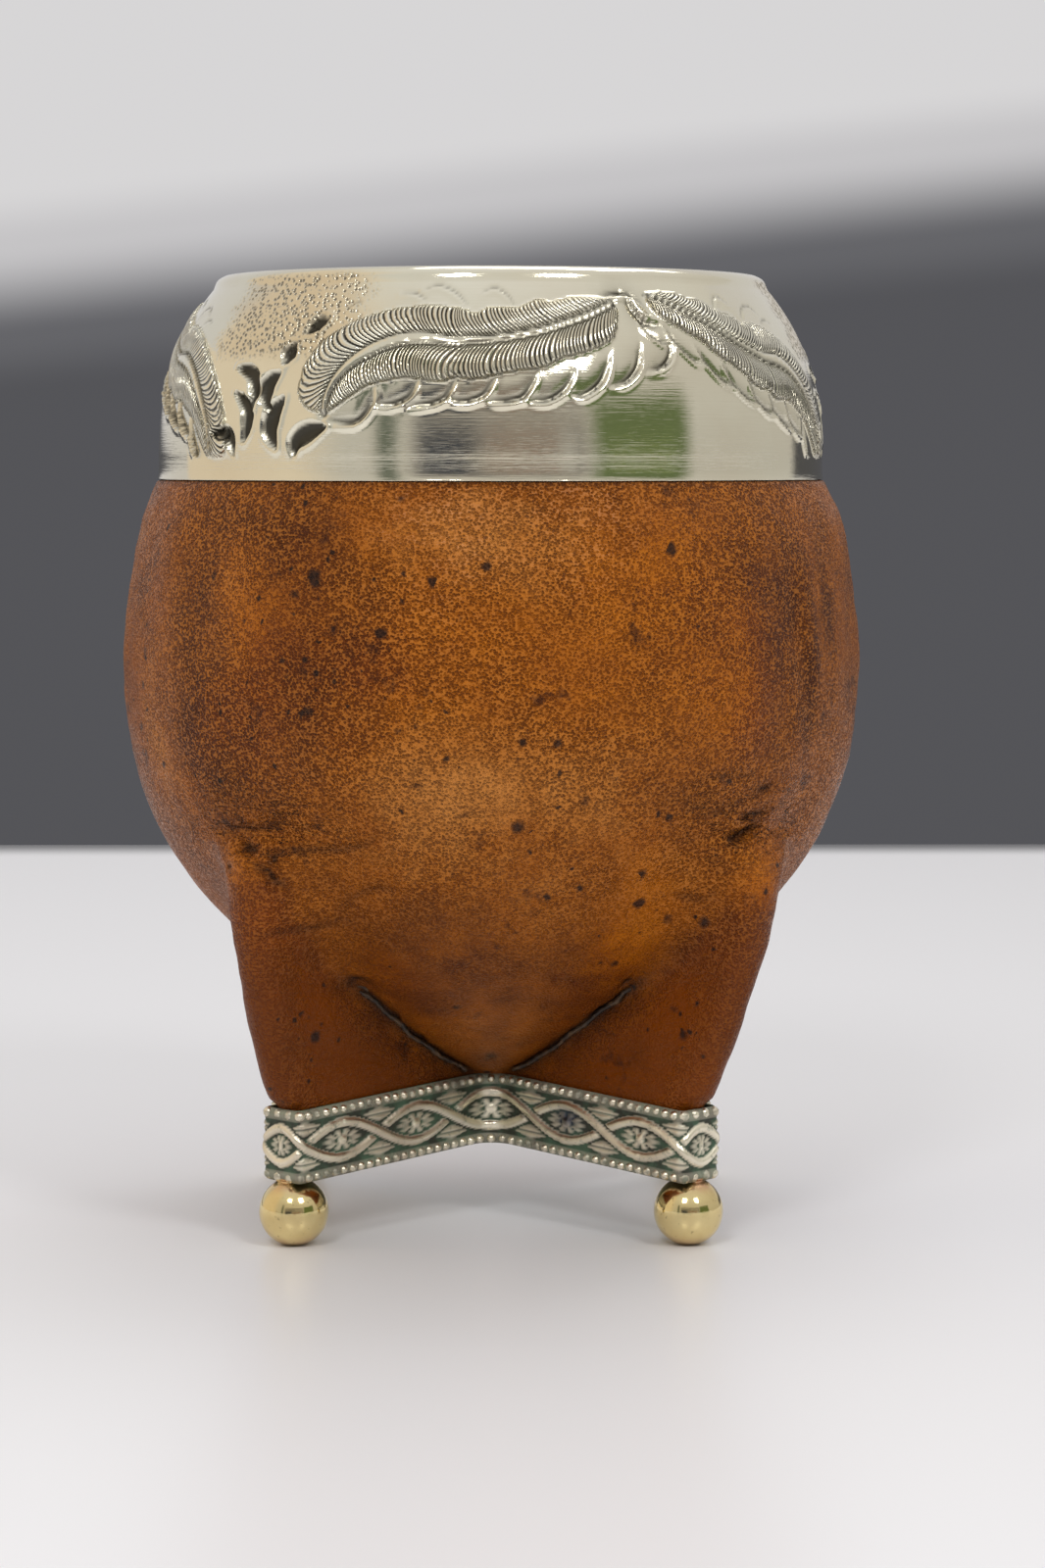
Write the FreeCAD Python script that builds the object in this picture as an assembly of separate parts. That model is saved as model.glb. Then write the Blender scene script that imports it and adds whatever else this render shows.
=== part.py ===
"""A mate cup: a calabash gourd covered in hide, with a nickel-silver rim ring at its mouth.

The hide is gathered under the gourd into four upright fins. Their feet stand in a cross-shaped
nickel-silver shoe, which is carried on four brass balls. +Z is up, the origin is on the floor at the
middle of the cup, and the front faces -Y. Sizes are in millimetres.
"""
import FreeCAD
import Part
import math
import os

# Hide cover: a belly that narrows to a blunt point above the shoe
belly_radius = 44.9
belly_height = 69.0
cover_bottom_height = 18.0
cover_bottom_radius = 6.5
lower_fullness = 2.5
upper_fullness = 1.8
cover_shoulder_drop = 3.6
hide_thickness = 2.2
cover_tuck = 12.0

# Gourd shell inside the hide
gourd_wall = 5.0
gourd_bottom_gap = 4.3
gourd_neck_drop = 11.0
gourd_neck_fullness = 1.4
gourd_top_below_lip = 6.4

# Rim ring
rim_bottom_height = 90.0
rim_height = 24.4
rim_setback = 0.8
rim_radius = belly_radius - cover_shoulder_drop - rim_setback
rim_wall = 0.8
rim_shoulder_drop = 8.2
rim_shoulder_fullness = 2.8
rim_edge_flare = 0.3
rim_edge_flare_height = 1.2
rim_lip_radius = 1.4
rim_funnel_drop = 3.4
rim_collar_length = 8.0
rim_seat_clearance = 0.05
collar_clearance = 0.2

# Fins of hide, one for each leg
fin_thickness = 4.8
fin_foot_reach = 34.4
fin_shoulder_reach = 41.9
fin_shoulder_height = 42.0
fin_top_height = 50.0
fin_top_rounding = 3.0
fin_edge_rounding = 1.9
front_leg_spread = 44.5
back_leg_spread = 48.5

# Shoe under the fins
shoe_height = 8.6
shoe_wall = 0.8
shoe_floor = 0.8
shoe_clearance = 0.05
shoe_top_at_middle = 17.9
shoe_droop = 0.045
shoe_rail_height = 1.2
shoe_rail_proud = 0.45
shoe_valley_radius = 3.0
shoe_corner_radius = 0.9

# Ball feet
ball_radius = 4.1
ball_inset = 1.2
ball_flat_depth = 0.12

# Lacing that draws each fin together under the gourd
lace_radius = 0.5
lace_holes = 4
lace_first_radius = 9.0
lace_last_radius = 25.0
lace_drop = 1.1
lace_proud = 0.2

outline_steps = 12
Z_AXIS = FreeCAD.Vector(0, 0, 1)
ORIGIN = FreeCAD.Vector(0, 0, 0)

legs = {
    "front_left": 270.0 - front_leg_spread,
    "front_right": 270.0 + front_leg_spread,
    "back_right": 90.0 - back_leg_spread,
    "back_left": 90.0 + back_leg_spread,
}


def cover_radius(height):
    """Outer radius of the hide cover, between its bottom and the rim ring."""
    if height < belly_height:
        share = (belly_height - height) / (belly_height - cover_bottom_height)
        return cover_bottom_radius + (belly_radius - cover_bottom_radius) * (1 - share**lower_fullness)
    share = (height - belly_height) / (rim_bottom_height - belly_height)
    return belly_radius - cover_shoulder_drop * share**upper_fullness


def rim_outer_radius(height):
    """Outer radius of the rim ring: upright at its edge, rolling inwards towards the lip."""
    share = (height - rim_bottom_height) / rim_height
    flare = rim_edge_flare * max(0.0, 1 - (height - rim_bottom_height) / rim_edge_flare_height) ** 2
    return rim_radius + flare - rim_shoulder_drop * max(0.0, share) ** rim_shoulder_fullness


def steps(start, end, count):
    """count + 1 evenly spaced values from start to end."""
    return [start + (end - start) * k / count for k in range(count + 1)]


def spline(points):
    """A smooth edge in the XZ plane through (radius, height) points."""
    curve = Part.BSplineCurve()
    curve.interpolate([FreeCAD.Vector(r, 0, z) for r, z in points])
    return curve.toShape()


def line(start, end):
    """A straight edge in the XZ plane between two (radius, height) points."""
    return Part.makeLine(FreeCAD.Vector(start[0], 0, start[1]), FreeCAD.Vector(end[0], 0, end[1]))


def turned(edges):
    """The solid made by turning a closed profile about the Z axis."""
    wire = Part.Wire(Part.__sortEdges__(edges))
    return Part.Face(wire).revolve(ORIGIN, Z_AXIS, 360)


def offset_path(points, distance):
    """Points moved to the left of the path's direction by distance."""
    moved = []
    for k, (r, z) in enumerate(points):
        before = points[max(k - 1, 0)]
        after = points[min(k + 1, len(points) - 1)]
        dr, dz = after[0] - before[0], after[1] - before[1]
        length = math.hypot(dr, dz)
        moved.append((r - dz / length * distance, z + dr / length * distance))
    return moved


def gourd_solid(inset, top_height):
    """The gourd as one solid with no hollow, shrunk by inset: half an ellipse below, a neck above."""
    radius = belly_radius - hide_thickness - inset
    bottom = cover_bottom_height + hide_thickness + gourd_bottom_gap + inset
    neck_start = belly_height
    neck_length = rim_bottom_height + rim_height - gourd_top_below_lip - belly_height
    mouth = radius - gourd_neck_drop

    lower = []
    for angle in steps(0, math.pi / 2, outline_steps):
        lower.append((radius * math.sin(angle), belly_height - (belly_height - bottom) * math.cos(angle)))
    upper = []
    for height in steps(neck_start, neck_start + neck_length, outline_steps):
        share = (height - neck_start) / neck_length
        upper.append((radius - (radius - mouth) * share**gourd_neck_fullness, height))
    edges = [spline(lower + upper[1:])]
    last = upper[-1]
    if top_height > last[1]:
        edges.append(line(last, (last[0], top_height)))
        last = (last[0], top_height)
    edges.append(line(last, (0, last[1])))
    edges.append(line((0, last[1]), (0, bottom)))
    return turned(edges)


def make_gourd():
    """The hollow gourd shell, open at its mouth."""
    rim_top = rim_bottom_height + rim_height
    return gourd_solid(0, 0).cut(gourd_solid(gourd_wall, rim_top))


def mouth_radius():
    """Inner radius of the gourd's mouth."""
    return belly_radius - hide_thickness - gourd_wall - gourd_neck_drop


def make_rim():
    """The rim ring: a skirt over the hide, a rolled lip, a funnel and a collar inside the mouth."""
    top = rim_bottom_height + rim_height
    lip_start = top - rim_lip_radius
    path = [(rim_outer_radius(z), z) for z in steps(rim_bottom_height, lip_start, outline_steps)]
    lip_centre = (path[-1][0] - rim_lip_radius, lip_start)
    for angle in (0.5, 1.0, 1.4, 1.8):
        r = lip_centre[0] + rim_lip_radius * math.cos(angle)
        path.append((r, lip_centre[1] + rim_lip_radius * math.sin(angle)))
    collar_radius = mouth_radius() - collar_clearance
    collar_top = top - rim_funnel_drop
    funnel_start = path[-1]
    funnel_end = (collar_radius - rim_wall, collar_top)
    for share in (0.3, 0.6, 0.85):
        r = funnel_start[0] + (funnel_end[0] - funnel_start[0]) * share
        path.append((r, funnel_start[1] + (funnel_end[1] - funnel_start[1]) * share**1.5))
    for share in (0.12, 0.35, 0.65, 1.0):
        path.append((funnel_end[0], collar_top - rim_collar_length * share))
    inner = offset_path(path, rim_wall)
    inner[0] = (inner[0][0], path[0][1])
    return turned([spline(path), spline(inner), line(path[0], inner[0]), line(path[-1], inner[-1])])


def seat_radius(height):
    """Outer radius of the hide where it is tucked under the rim ring."""
    return rim_outer_radius(height) - rim_edge_flare - rim_wall - rim_seat_clearance


def make_cover_body():
    """The hide cover as one solid with no hollow, stepped in under the rim ring."""
    below = [(cover_radius(z), z) for z in steps(cover_bottom_height, rim_bottom_height, 2 * outline_steps)]
    tuck_top = rim_bottom_height + cover_tuck
    under = [(seat_radius(z) - 0.25, z) for z in steps(rim_bottom_height, tuck_top, outline_steps // 2)]
    edges = [
        spline(below),
        line(below[-1], under[0]),
        spline(under),
        line(under[-1], (0, tuck_top)),
        line((0, tuck_top), (0, cover_bottom_height)),
        line((0, cover_bottom_height), below[0]),
    ]
    return turned(edges)


def shoe_top(radius):
    """Height of the shoe's top edge at a distance from the middle."""
    return shoe_top_at_middle - shoe_droop * radius


def cone_layer(from_below_top, to_below_top):
    """A disc that follows the shoe's droop, between two depths below the shoe's top edge."""
    reach = fin_foot_reach + 10
    corners = [
        (0, shoe_top(0) - to_below_top),
        (reach, shoe_top(reach) - to_below_top),
        (reach, shoe_top(reach) - from_below_top),
        (0, shoe_top(0) - from_below_top),
    ]
    return turned([line(corners[k], corners[(k + 1) % 4]) for k in range(4)])


def cross_prism(half_width, reach, valley_radius, corner_radius, bottom, top):
    """An upright prism with the plan of the cross: an arm along each leg, its valleys and tips rounded."""
    spreads = sorted(angle % 360 for angle in legs.values())
    corners, radii = [], []
    for k, angle in enumerate(spreads):
        a = math.radians(angle)
        along = (math.cos(a), math.sin(a))
        across = (-math.sin(a), math.cos(a))
        for side in (-1, 1):
            corners.append(FreeCAD.Vector(
                reach * along[0] + side * half_width * across[0],
                reach * along[1] + side * half_width * across[1],
                bottom,
            ))
            radii.append(corner_radius)
        following = spreads[(k + 1) % len(spreads)] + (360 if k == len(spreads) - 1 else 0)
        middle = math.radians((angle + following) / 2)
        valley = half_width / math.sin(math.radians((following - angle) / 2))
        corners.append(FreeCAD.Vector(valley * math.cos(middle), valley * math.sin(middle), bottom))
        radii.append(valley_radius)
    return Part.Face(rounded_wire(corners, radii)).extrude(FreeCAD.Vector(0, 0, top - bottom))


def rounded_wire(corners, radii):
    """A closed wire of straight runs and tangent arcs round each corner."""
    count = len(corners)
    edges, ends = [], []
    for k in range(count):
        corner = corners[k]
        back = (corners[k - 1] - corner).normalize()
        ahead = (corners[(k + 1) % count] - corner).normalize()
        half = back.getAngle(ahead) / 2
        setback = radii[k] / math.tan(half)
        start, end = corner + back * setback, corner + ahead * setback
        to_centre = (back + ahead).normalize()
        centre = corner + to_centre * (radii[k] / math.sin(half))
        edges.append(Part.Arc(start, centre - to_centre * radii[k], end).toShape())
        ends.append((start, end))
    for k in range(count):
        edges.append(Part.makeLine(ends[k][1], ends[(k + 1) % count][0]))
    return Part.Wire(Part.__sortEdges__(edges))


def make_shoe():
    """The shoe: a low cross-shaped tray with a raised rail along its top and bottom edges."""
    inner_half = fin_thickness / 2 + shoe_clearance
    inner_reach = fin_foot_reach + shoe_clearance
    inner_valley = shoe_valley_radius + shoe_wall
    inner_corner = shoe_clearance
    outer_half = inner_half + shoe_wall
    outer_reach = inner_reach + shoe_wall
    wall = cross_prism(outer_half, outer_reach, shoe_valley_radius, shoe_corner_radius, 0, 2 * shoe_top(0))
    rail = cross_prism(
        outer_half + shoe_rail_proud, outer_reach + shoe_rail_proud,
        shoe_valley_radius - shoe_rail_proud, shoe_corner_radius + shoe_rail_proud, 0, 2 * shoe_top(0),
    )
    hollow = cross_prism(inner_half, inner_reach, inner_valley, inner_corner, 0, 2 * shoe_top(0))
    body = wall.common(cone_layer(0, shoe_height))
    body = body.fuse(rail.common(cone_layer(0, shoe_rail_height)))
    body = body.fuse(rail.common(cone_layer(shoe_height - shoe_rail_height, shoe_height)))
    return body.cut(hollow.common(cone_layer(-shoe_height, shoe_height - shoe_floor))).removeSplitter()


def make_fin(angle):
    """One upright fin of folded hide, from the floor of the shoe up into the cover, along one leg."""
    foot = (fin_foot_reach, shoe_top(fin_foot_reach))
    bottom = shoe_top(fin_foot_reach) - shoe_height
    shoulder = (fin_shoulder_reach, fin_shoulder_height)
    middle_height = (foot[1] + shoulder[1]) / 2
    middle = ((foot[0] + shoulder[0]) / 2 + 0.05 * (shoulder[1] - foot[1]), middle_height)
    top_start = (fin_shoulder_reach, fin_top_height - fin_top_rounding)
    top_end = (fin_shoulder_reach - fin_top_rounding, fin_top_height)
    turn = fin_top_rounding * (1 - math.sqrt(0.5))
    top_middle = (fin_shoulder_reach - turn, fin_top_height - turn)

    def at(point):
        return FreeCAD.Vector(point[0], -fin_thickness / 2, point[1])

    edges = [
        Part.makeLine(at((0, bottom)), at((foot[0], bottom))),
        Part.makeLine(at((foot[0], bottom)), at(foot)),
        Part.Arc(at(foot), at(middle), at(shoulder)).toShape(),
        Part.makeLine(at(shoulder), at(top_start)),
        Part.Arc(at(top_start), at(top_middle), at(top_end)).toShape(),
        Part.makeLine(at(top_end), at((0, fin_top_height))),
        Part.makeLine(at((0, fin_top_height)), at((0, bottom))),
    ]
    plate = Part.Face(Part.Wire(Part.__sortEdges__(edges))).extrude(FreeCAD.Vector(0, fin_thickness, 0))
    ridge = []
    for edge in plate.Edges:
        box = edge.BoundBox
        on_face = box.YLength < 1e-6 and abs(abs(box.YMin) - fin_thickness / 2) < 1e-6
        between = box.ZMin > foot[1] - 1e-6 and box.ZMax < top_start[1] + 1e-6
        if on_face and between and box.XMin > fin_foot_reach - 1e-6:
            ridge.append(edge)
    plate = plate.makeFillet(fin_edge_rounding, ridge)
    plate.rotate(ORIGIN, Z_AXIS, angle)
    return plate


def seam_points():
    """(distance from the middle, height) of each lacing hole, just under the cover's outline."""
    outline = [(cover_radius(z), z) for z in steps(cover_bottom_height, belly_height, 400)]
    dropped = offset_path(outline, -lace_drop)
    holes = []
    for reach in steps(lace_first_radius, lace_last_radius, lace_holes - 1):
        holes.append(min(dropped, key=lambda point: abs(point[0] - reach)))
    return holes


def make_lace(angle):
    """One fin's lacing: a lace through each hole, and a stitch between the holes on both faces."""
    face = fin_thickness / 2 + lace_proud
    holes = seam_points()
    pieces = []
    for r, z in holes:
        start = FreeCAD.Vector(r, -face, z)
        pieces.append(Part.makeCylinder(lace_radius, 2 * face, start, FreeCAD.Vector(0, 1, 0)))
        for side in (-1, 1):
            pieces.append(Part.makeSphere(lace_radius, FreeCAD.Vector(r, side * face, z)))
    for start, end in zip(holes, holes[1:]):
        for side in (-1, 1):
            base = FreeCAD.Vector(start[0], side * face, start[1])
            run = FreeCAD.Vector(end[0], side * face, end[1]) - base
            pieces.append(Part.makeCylinder(lace_radius, run.Length, base, run))
    lace = pieces[0].fuse(pieces[1:]).removeSplitter()
    lace.rotate(ORIGIN, Z_AXIS, angle)
    return lace


def make_hub():
    """The gathered hide at the middle of the shoe, out to the rounding of its valleys."""
    inner_half = fin_thickness / 2 + shoe_clearance
    inner_valley = shoe_valley_radius + shoe_wall
    widest = max(front_leg_spread, back_leg_spread, 90 - (front_leg_spread + back_leg_spread) / 2)
    slant = 1 / math.sin(math.radians(widest))
    radius = min(inner_half * slant + inner_valley * (slant - 1), cover_bottom_radius) - shoe_clearance
    return Part.makeCylinder(radius, cover_bottom_height + hide_thickness)


def make_cover(laces):
    """The hide: the cover and its four fins in one piece, hollowed for the gourd and the laces."""
    rim_top = rim_bottom_height + rim_height
    hide = make_cover_body().fuse(make_hub())
    for angle in legs.values():
        hide = hide.fuse(make_fin(angle))
    floor = shoe_height - shoe_floor - shoe_clearance
    hide = hide.cut(cone_layer(floor, floor + 2 * shoe_height)).cut(gourd_solid(0, rim_top))
    return hide.cut(laces).removeSplitter()


def make_ball(angle):
    """A brass ball foot, soldered under the tip of the shoe and a little flat where it stands."""
    reach = fin_foot_reach - ball_inset
    a = math.radians(angle)
    centre = FreeCAD.Vector(reach * math.cos(a), reach * math.sin(a), ball_radius - ball_flat_depth)
    floor = Part.makeBox(4 * ball_radius, 4 * ball_radius, ball_radius)
    floor.translate(FreeCAD.Vector(centre.x - 2 * ball_radius, centre.y - 2 * ball_radius, -ball_radius))
    return Part.makeSphere(ball_radius, centre).cut(cone_layer(0, shoe_height)).cut(floor)


def main():
    os.makedirs("parts", exist_ok=True)
    laces = {f"lace_{name}": make_lace(angle) for name, angle in legs.items()}
    parts = {
        "gourd_shell": make_gourd(),
        "hide_cover": make_cover(list(laces.values())),
        "rim_ring": make_rim(),
        "base_shoe": make_shoe(),
    }
    parts.update(laces)
    for name, angle in legs.items():
        parts[f"ball_foot_{name}"] = make_ball(angle)
    for name, shape in parts.items():
        solids = shape.Solids
        print(name, len(solids), "solids", round(shape.Volume, 1), "mm3", "valid", shape.isValid())
        out = solids[0] if len(solids) == 1 else Part.Compound(solids)
        out.exportStep(f"parts/{name}.step")


main()
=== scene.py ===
import bpy
import numpy as np
from math import radians, degrees, pi, atan2
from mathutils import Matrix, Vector


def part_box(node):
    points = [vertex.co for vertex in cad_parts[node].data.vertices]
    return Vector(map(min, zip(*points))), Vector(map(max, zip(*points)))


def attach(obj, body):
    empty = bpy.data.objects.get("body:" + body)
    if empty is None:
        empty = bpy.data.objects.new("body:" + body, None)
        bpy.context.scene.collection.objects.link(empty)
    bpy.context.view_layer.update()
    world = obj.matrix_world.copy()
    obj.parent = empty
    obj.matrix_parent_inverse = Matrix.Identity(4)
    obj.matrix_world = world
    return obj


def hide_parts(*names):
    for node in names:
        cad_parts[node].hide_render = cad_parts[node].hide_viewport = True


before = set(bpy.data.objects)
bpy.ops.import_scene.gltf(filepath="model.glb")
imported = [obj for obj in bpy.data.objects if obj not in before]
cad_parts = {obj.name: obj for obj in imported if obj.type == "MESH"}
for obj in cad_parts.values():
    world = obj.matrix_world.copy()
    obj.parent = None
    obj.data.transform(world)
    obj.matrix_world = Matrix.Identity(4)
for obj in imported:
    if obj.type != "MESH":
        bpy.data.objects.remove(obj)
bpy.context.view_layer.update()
mm = 0.001                                   # every shape below is worked out in millimetres
print("frame loaded:", sorted(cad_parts))

camera = {"distance": 500.0, "height": 92.9, "down": 4.608, "right": 0.444, "lens": 93.73}

camData = bpy.data.cameras.new("tableCamera")
camData.lens = camera["lens"]
camData.sensor_width = 36.0
camObject = bpy.data.objects.new("tableCamera", camData)
camObject.location = (0, -camera["distance"] * mm, camera["height"] * mm)
camObject.rotation_euler = (radians(90 - camera["down"]), 0, -radians(camera["right"]))
bpy.context.collection.objects.link(camObject)
bpy.context.scene.camera = camObject
print("camera set")


# mesh helpers: everything is grids of points worked out as whole arrays

def ringFaces(first, count, rows):
    # quads between each row and the next, each row being a closed loop of count points
    r = np.arange(rows - 1)[:, None]
    c = np.arange(count)[None, :]
    nextC = (c + 1) % count
    a, b = r * count + c, r * count + nextC
    d, e = a + count, b + count
    return (np.stack([a, b, e, d], -1).reshape(-1, 4) + first).astype(np.int64)


def halvingFaces(dense, sparse, count):
    # three triangles for each sparse step, joining a loop of count points to one of count / 2
    k = np.arange(count // 2)
    a, b, c = dense + 2 * k, dense + 2 * k + 1, dense + (2 * k + 2) % count
    d, e = sparse + k, sparse + (k + 1) % (count // 2)
    return np.concatenate([np.stack(t, -1) for t in ((a, b, d), (b, e, d), (b, c, e))])


def poleFaces(loop, count, pole, below):
    # a fan from a pole point to a loop; below is true where the pole starts the surface
    c = np.arange(count)
    a, b = loop + c, loop + (c + 1) % count
    p = np.full(count, pole)
    return np.stack([p, b, a] if below else [p, a, b], -1)


def poleCaps(count, rows):
    # the fans that close a tube of rows of count points, whose two poles come last in its points
    first = rows * count
    return np.vstack([poleFaces(0, count, first, True), poleFaces(first - count, count, first + 1, False)])


def fillMesh(name, points, quads, tris, material, nodes=(), attributes=None):
    # points in millimetres; attributes is a dictionary of one value for each point
    mesh = bpy.data.meshes.new(name)
    quads = np.asarray(quads, np.int64).reshape(-1, 4)
    tris = np.asarray(tris, np.int64).reshape(-1, 3)
    mesh.vertices.add(len(points))
    mesh.vertices.foreach_set("co", (np.asarray(points, float) * mm).astype(np.float32).ravel())
    mesh.loops.add(quads.size + tris.size)
    mesh.loops.foreach_set("vertex_index", np.concatenate([quads.ravel(), tris.ravel()]).astype(np.int32))
    mesh.polygons.add(len(quads) + len(tris))
    starts = np.concatenate([np.arange(len(quads)) * 4, quads.size + np.arange(len(tris)) * 3])
    mesh.polygons.foreach_set("loop_start", starts.astype(np.int32))
    mesh.update(calc_edges=True)
    mesh.validate()
    mesh.polygons.foreach_set("use_smooth", np.ones(len(mesh.polygons), bool))
    for key, values in (attributes or {}).items():
        layer = mesh.attributes.new(key, "FLOAT", "POINT")
        layer.data.foreach_set("value", np.asarray(values, np.float32).ravel())
    mesh.materials.append(material)
    piece = bpy.data.objects.new(name, mesh)
    bpy.context.collection.objects.link(piece)
    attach(piece, "root")
    if nodes:
        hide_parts(*nodes)
    print(name, "triangles:", len(quads) * 2 + len(tris))


def halfTurns(angle):
    # the same angle between -180 and 180
    return (angle + 180) % 360 - 180


def smoothStep(x, low, high):
    # 0 below low, 1 above high, and an even S between
    t = np.clip((x - low) / (high - low), 0, 1)
    return t * t * (3 - 2 * t)


def waves(seed, count, shortest, longest, *axes):
    # a sum of sine waves in random directions, from -1 to 1, with wavelengths between shortest and longest
    rng = np.random.default_rng(seed)
    total = 0
    for k in range(count):
        direction = rng.normal(size=len(axes))
        direction /= np.linalg.norm(direction)
        length = shortest * (longest / shortest) ** rng.random()
        phase = rng.random() * 2 * pi
        total = total + np.sin(sum(d * a for d, a in zip(direction, axes)) * 2 * pi / length + phase)
    return total / count ** 0.5 / 1.4


def pathDistance(x, y, path):
    # distance from each point to a path, the length run along it to the nearest place, and the side it is on
    a, step = path[:-1], path[1:] - path[:-1]
    length2 = (step ** 2).sum(1) + 1e-9
    px, py = x[:, None], y[:, None]
    share = np.clip(((px - a[:, 0]) * step[:, 0] + (py - a[:, 1]) * step[:, 1]) / length2, 0, 1)
    dx, dy = px - a[:, 0] - share * step[:, 0], py - a[:, 1] - share * step[:, 1]
    distance = np.hypot(dx, dy)
    pick = distance.argmin(1)
    rows = np.arange(len(pick))
    runs = np.concatenate([[0], np.cumsum(np.sqrt(length2))])
    side = np.sign(step[pick, 0] * dy[rows, pick] - step[pick, 1] * dx[rows, pick])
    return distance[rows, pick], runs[pick] + share[rows, pick] * np.sqrt(length2)[pick], side, runs[-1]


def strokeField(x, y, path, width):
    # the same for the points near enough to a stroke, with the run as a share of its length
    reach = 3.2 * width
    low, high = path.min(0) - reach, path.max(0) + reach
    near = (x > low[0]) & (x < high[0]) & (y > low[1]) & (y < high[1])
    if not near.any():
        return near, None, None, None
    distance, run, side, length = pathDistance(x[near], y[near], path)
    return near, distance, run / length, side


def curveThrough(points, count):
    # a smooth line through the points (Catmull-Rom), given back as count points
    p = np.asarray(points, float)
    p = np.vstack([2 * p[0] - p[1], p, 2 * p[-1] - p[-2]])
    t = np.linspace(0, len(p) - 3 - 1e-9, count)
    k = t.astype(int)
    u = (t - k)[:, None]
    a, b, c, d = p[k], p[k + 1], p[k + 2], p[k + 3]
    return 0.5 * (2 * b + (c - a) * u + (2 * a - 5 * b + 4 * c - d) * u ** 2 + (3 * b - a - 3 * c + d) * u ** 3)


# shader helpers

def newMaterial(name):
    # an empty material with its Principled shader and output
    material = bpy.data.materials.new(name)
    material.use_nodes = True
    tree = material.node_tree
    tree.nodes.clear()
    shader = tree.nodes.new("ShaderNodeBsdfPrincipled")
    shader.location = (600, 0)
    output = tree.nodes.new("ShaderNodeOutputMaterial")
    output.location = (900, 0)
    tree.links.new(shader.outputs["BSDF"], output.inputs["Surface"])
    return material, tree, shader


def node(tree, kind, x=0, y=0, **settings):
    # one node, with its settings
    made = tree.nodes.new(kind)
    made.location = (x, y)
    for key, value in settings.items():
        setattr(made, key, value)
    return made


def maths(tree, operation, a, b=None, c=None, clamp=False):
    # one Math node; a, b and c are sockets or numbers
    made = tree.nodes.new("ShaderNodeMath")
    made.operation = operation
    made.use_clamp = clamp
    for k, value in enumerate((a, b, c)):
        if value is None:
            continue
        if isinstance(value, (int, float)):
            made.inputs[k].default_value = value
        else:
            tree.links.new(value, made.inputs[k])
    return made.outputs[0]


def blendColour(tree, factor, a, b):
    # one colour mix; factor, a and b are sockets, numbers or colours
    made = tree.nodes.new("ShaderNodeMix")
    made.data_type = "RGBA"
    for index, value in ((0, factor), (6, a), (7, b)):
        if isinstance(value, (int, float, tuple)):
            made.inputs[index].default_value = value
        else:
            tree.links.new(value, made.inputs[index])
    return made.outputs[2]


def ramp(tree, value, stops, interpolation="LINEAR"):
    # a colour ramp over the stops, each (position, grey or colour)
    made = tree.nodes.new("ShaderNodeValToRGB")
    made.color_ramp.interpolation = interpolation
    while len(made.color_ramp.elements) < len(stops):
        made.color_ramp.elements.new(1.0)
    for element, (position, colour) in zip(made.color_ramp.elements, stops):
        element.position = position
        element.color = colour if isinstance(colour, tuple) else (colour, colour, colour, 1)
    tree.links.new(value, made.inputs[0])
    return made.outputs[0]


def attribute(tree, name):
    # one value for each point, as fillMesh stored it
    made = tree.nodes.new("ShaderNodeAttribute")
    made.attribute_name = name
    return made.outputs["Fac"]


def noise(tree, vector, scale, detail=2.0, roughness=0.5, distortion=0.0):
    # one Noise texture: scale is about how many of its lumps lie along a metre
    made = tree.nodes.new("ShaderNodeTexNoise")
    made.inputs["Scale"].default_value = scale
    made.inputs["Detail"].default_value = detail
    made.inputs["Roughness"].default_value = roughness
    made.inputs["Distortion"].default_value = distortion
    tree.links.new(vector, made.inputs["Vector"])
    return made.outputs[0]


def placed(tree, vector, scale=(1, 1, 1), offset=(0, 0, 0)):
    # the coordinates times scale, plus offset
    made = tree.nodes.new("ShaderNodeMapping")
    made.inputs["Scale"].default_value = scale
    made.inputs["Location"].default_value = offset
    tree.links.new(vector, made.inputs["Vector"])
    return made.outputs[0]


def bump(tree, height, strength, distance, before=None):
    # a normal tilted by the slope of height times distance, laid over the one before
    made = tree.nodes.new("ShaderNodeBump")
    made.inputs["Strength"].default_value = strength
    made.inputs["Distance"].default_value = distance
    tree.links.new(height, made.inputs["Height"])
    if before is not None:
        tree.links.new(before, made.inputs["Normal"])
    return made.outputs[0]


def newGroup(name, inputs, outputs):
    # a shader node group with named inputs (name, kind, value) and outputs (name, kind)
    tree = bpy.data.node_groups.new(name, "ShaderNodeTree")
    for label, kind, value in inputs:
        socket = tree.interface.new_socket(label, in_out="INPUT", socket_type=kind)
        if value is not None:
            socket.default_value = value
    for label, kind in outputs:
        tree.interface.new_socket(label, in_out="OUTPUT", socket_type=kind)
    return tree, tree.nodes.new("NodeGroupInput"), tree.nodes.new("NodeGroupOutput")


def useGroup(tree, group, **values):
    # the group placed in a material; values are sockets or numbers for its inputs
    made = tree.nodes.new("ShaderNodeGroup")
    made.node_tree = group
    for key, value in values.items():
        if hasattr(value, "is_linked"):
            tree.links.new(value, made.inputs[key])
        else:
            made.inputs[key].default_value = value
    return made


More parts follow.
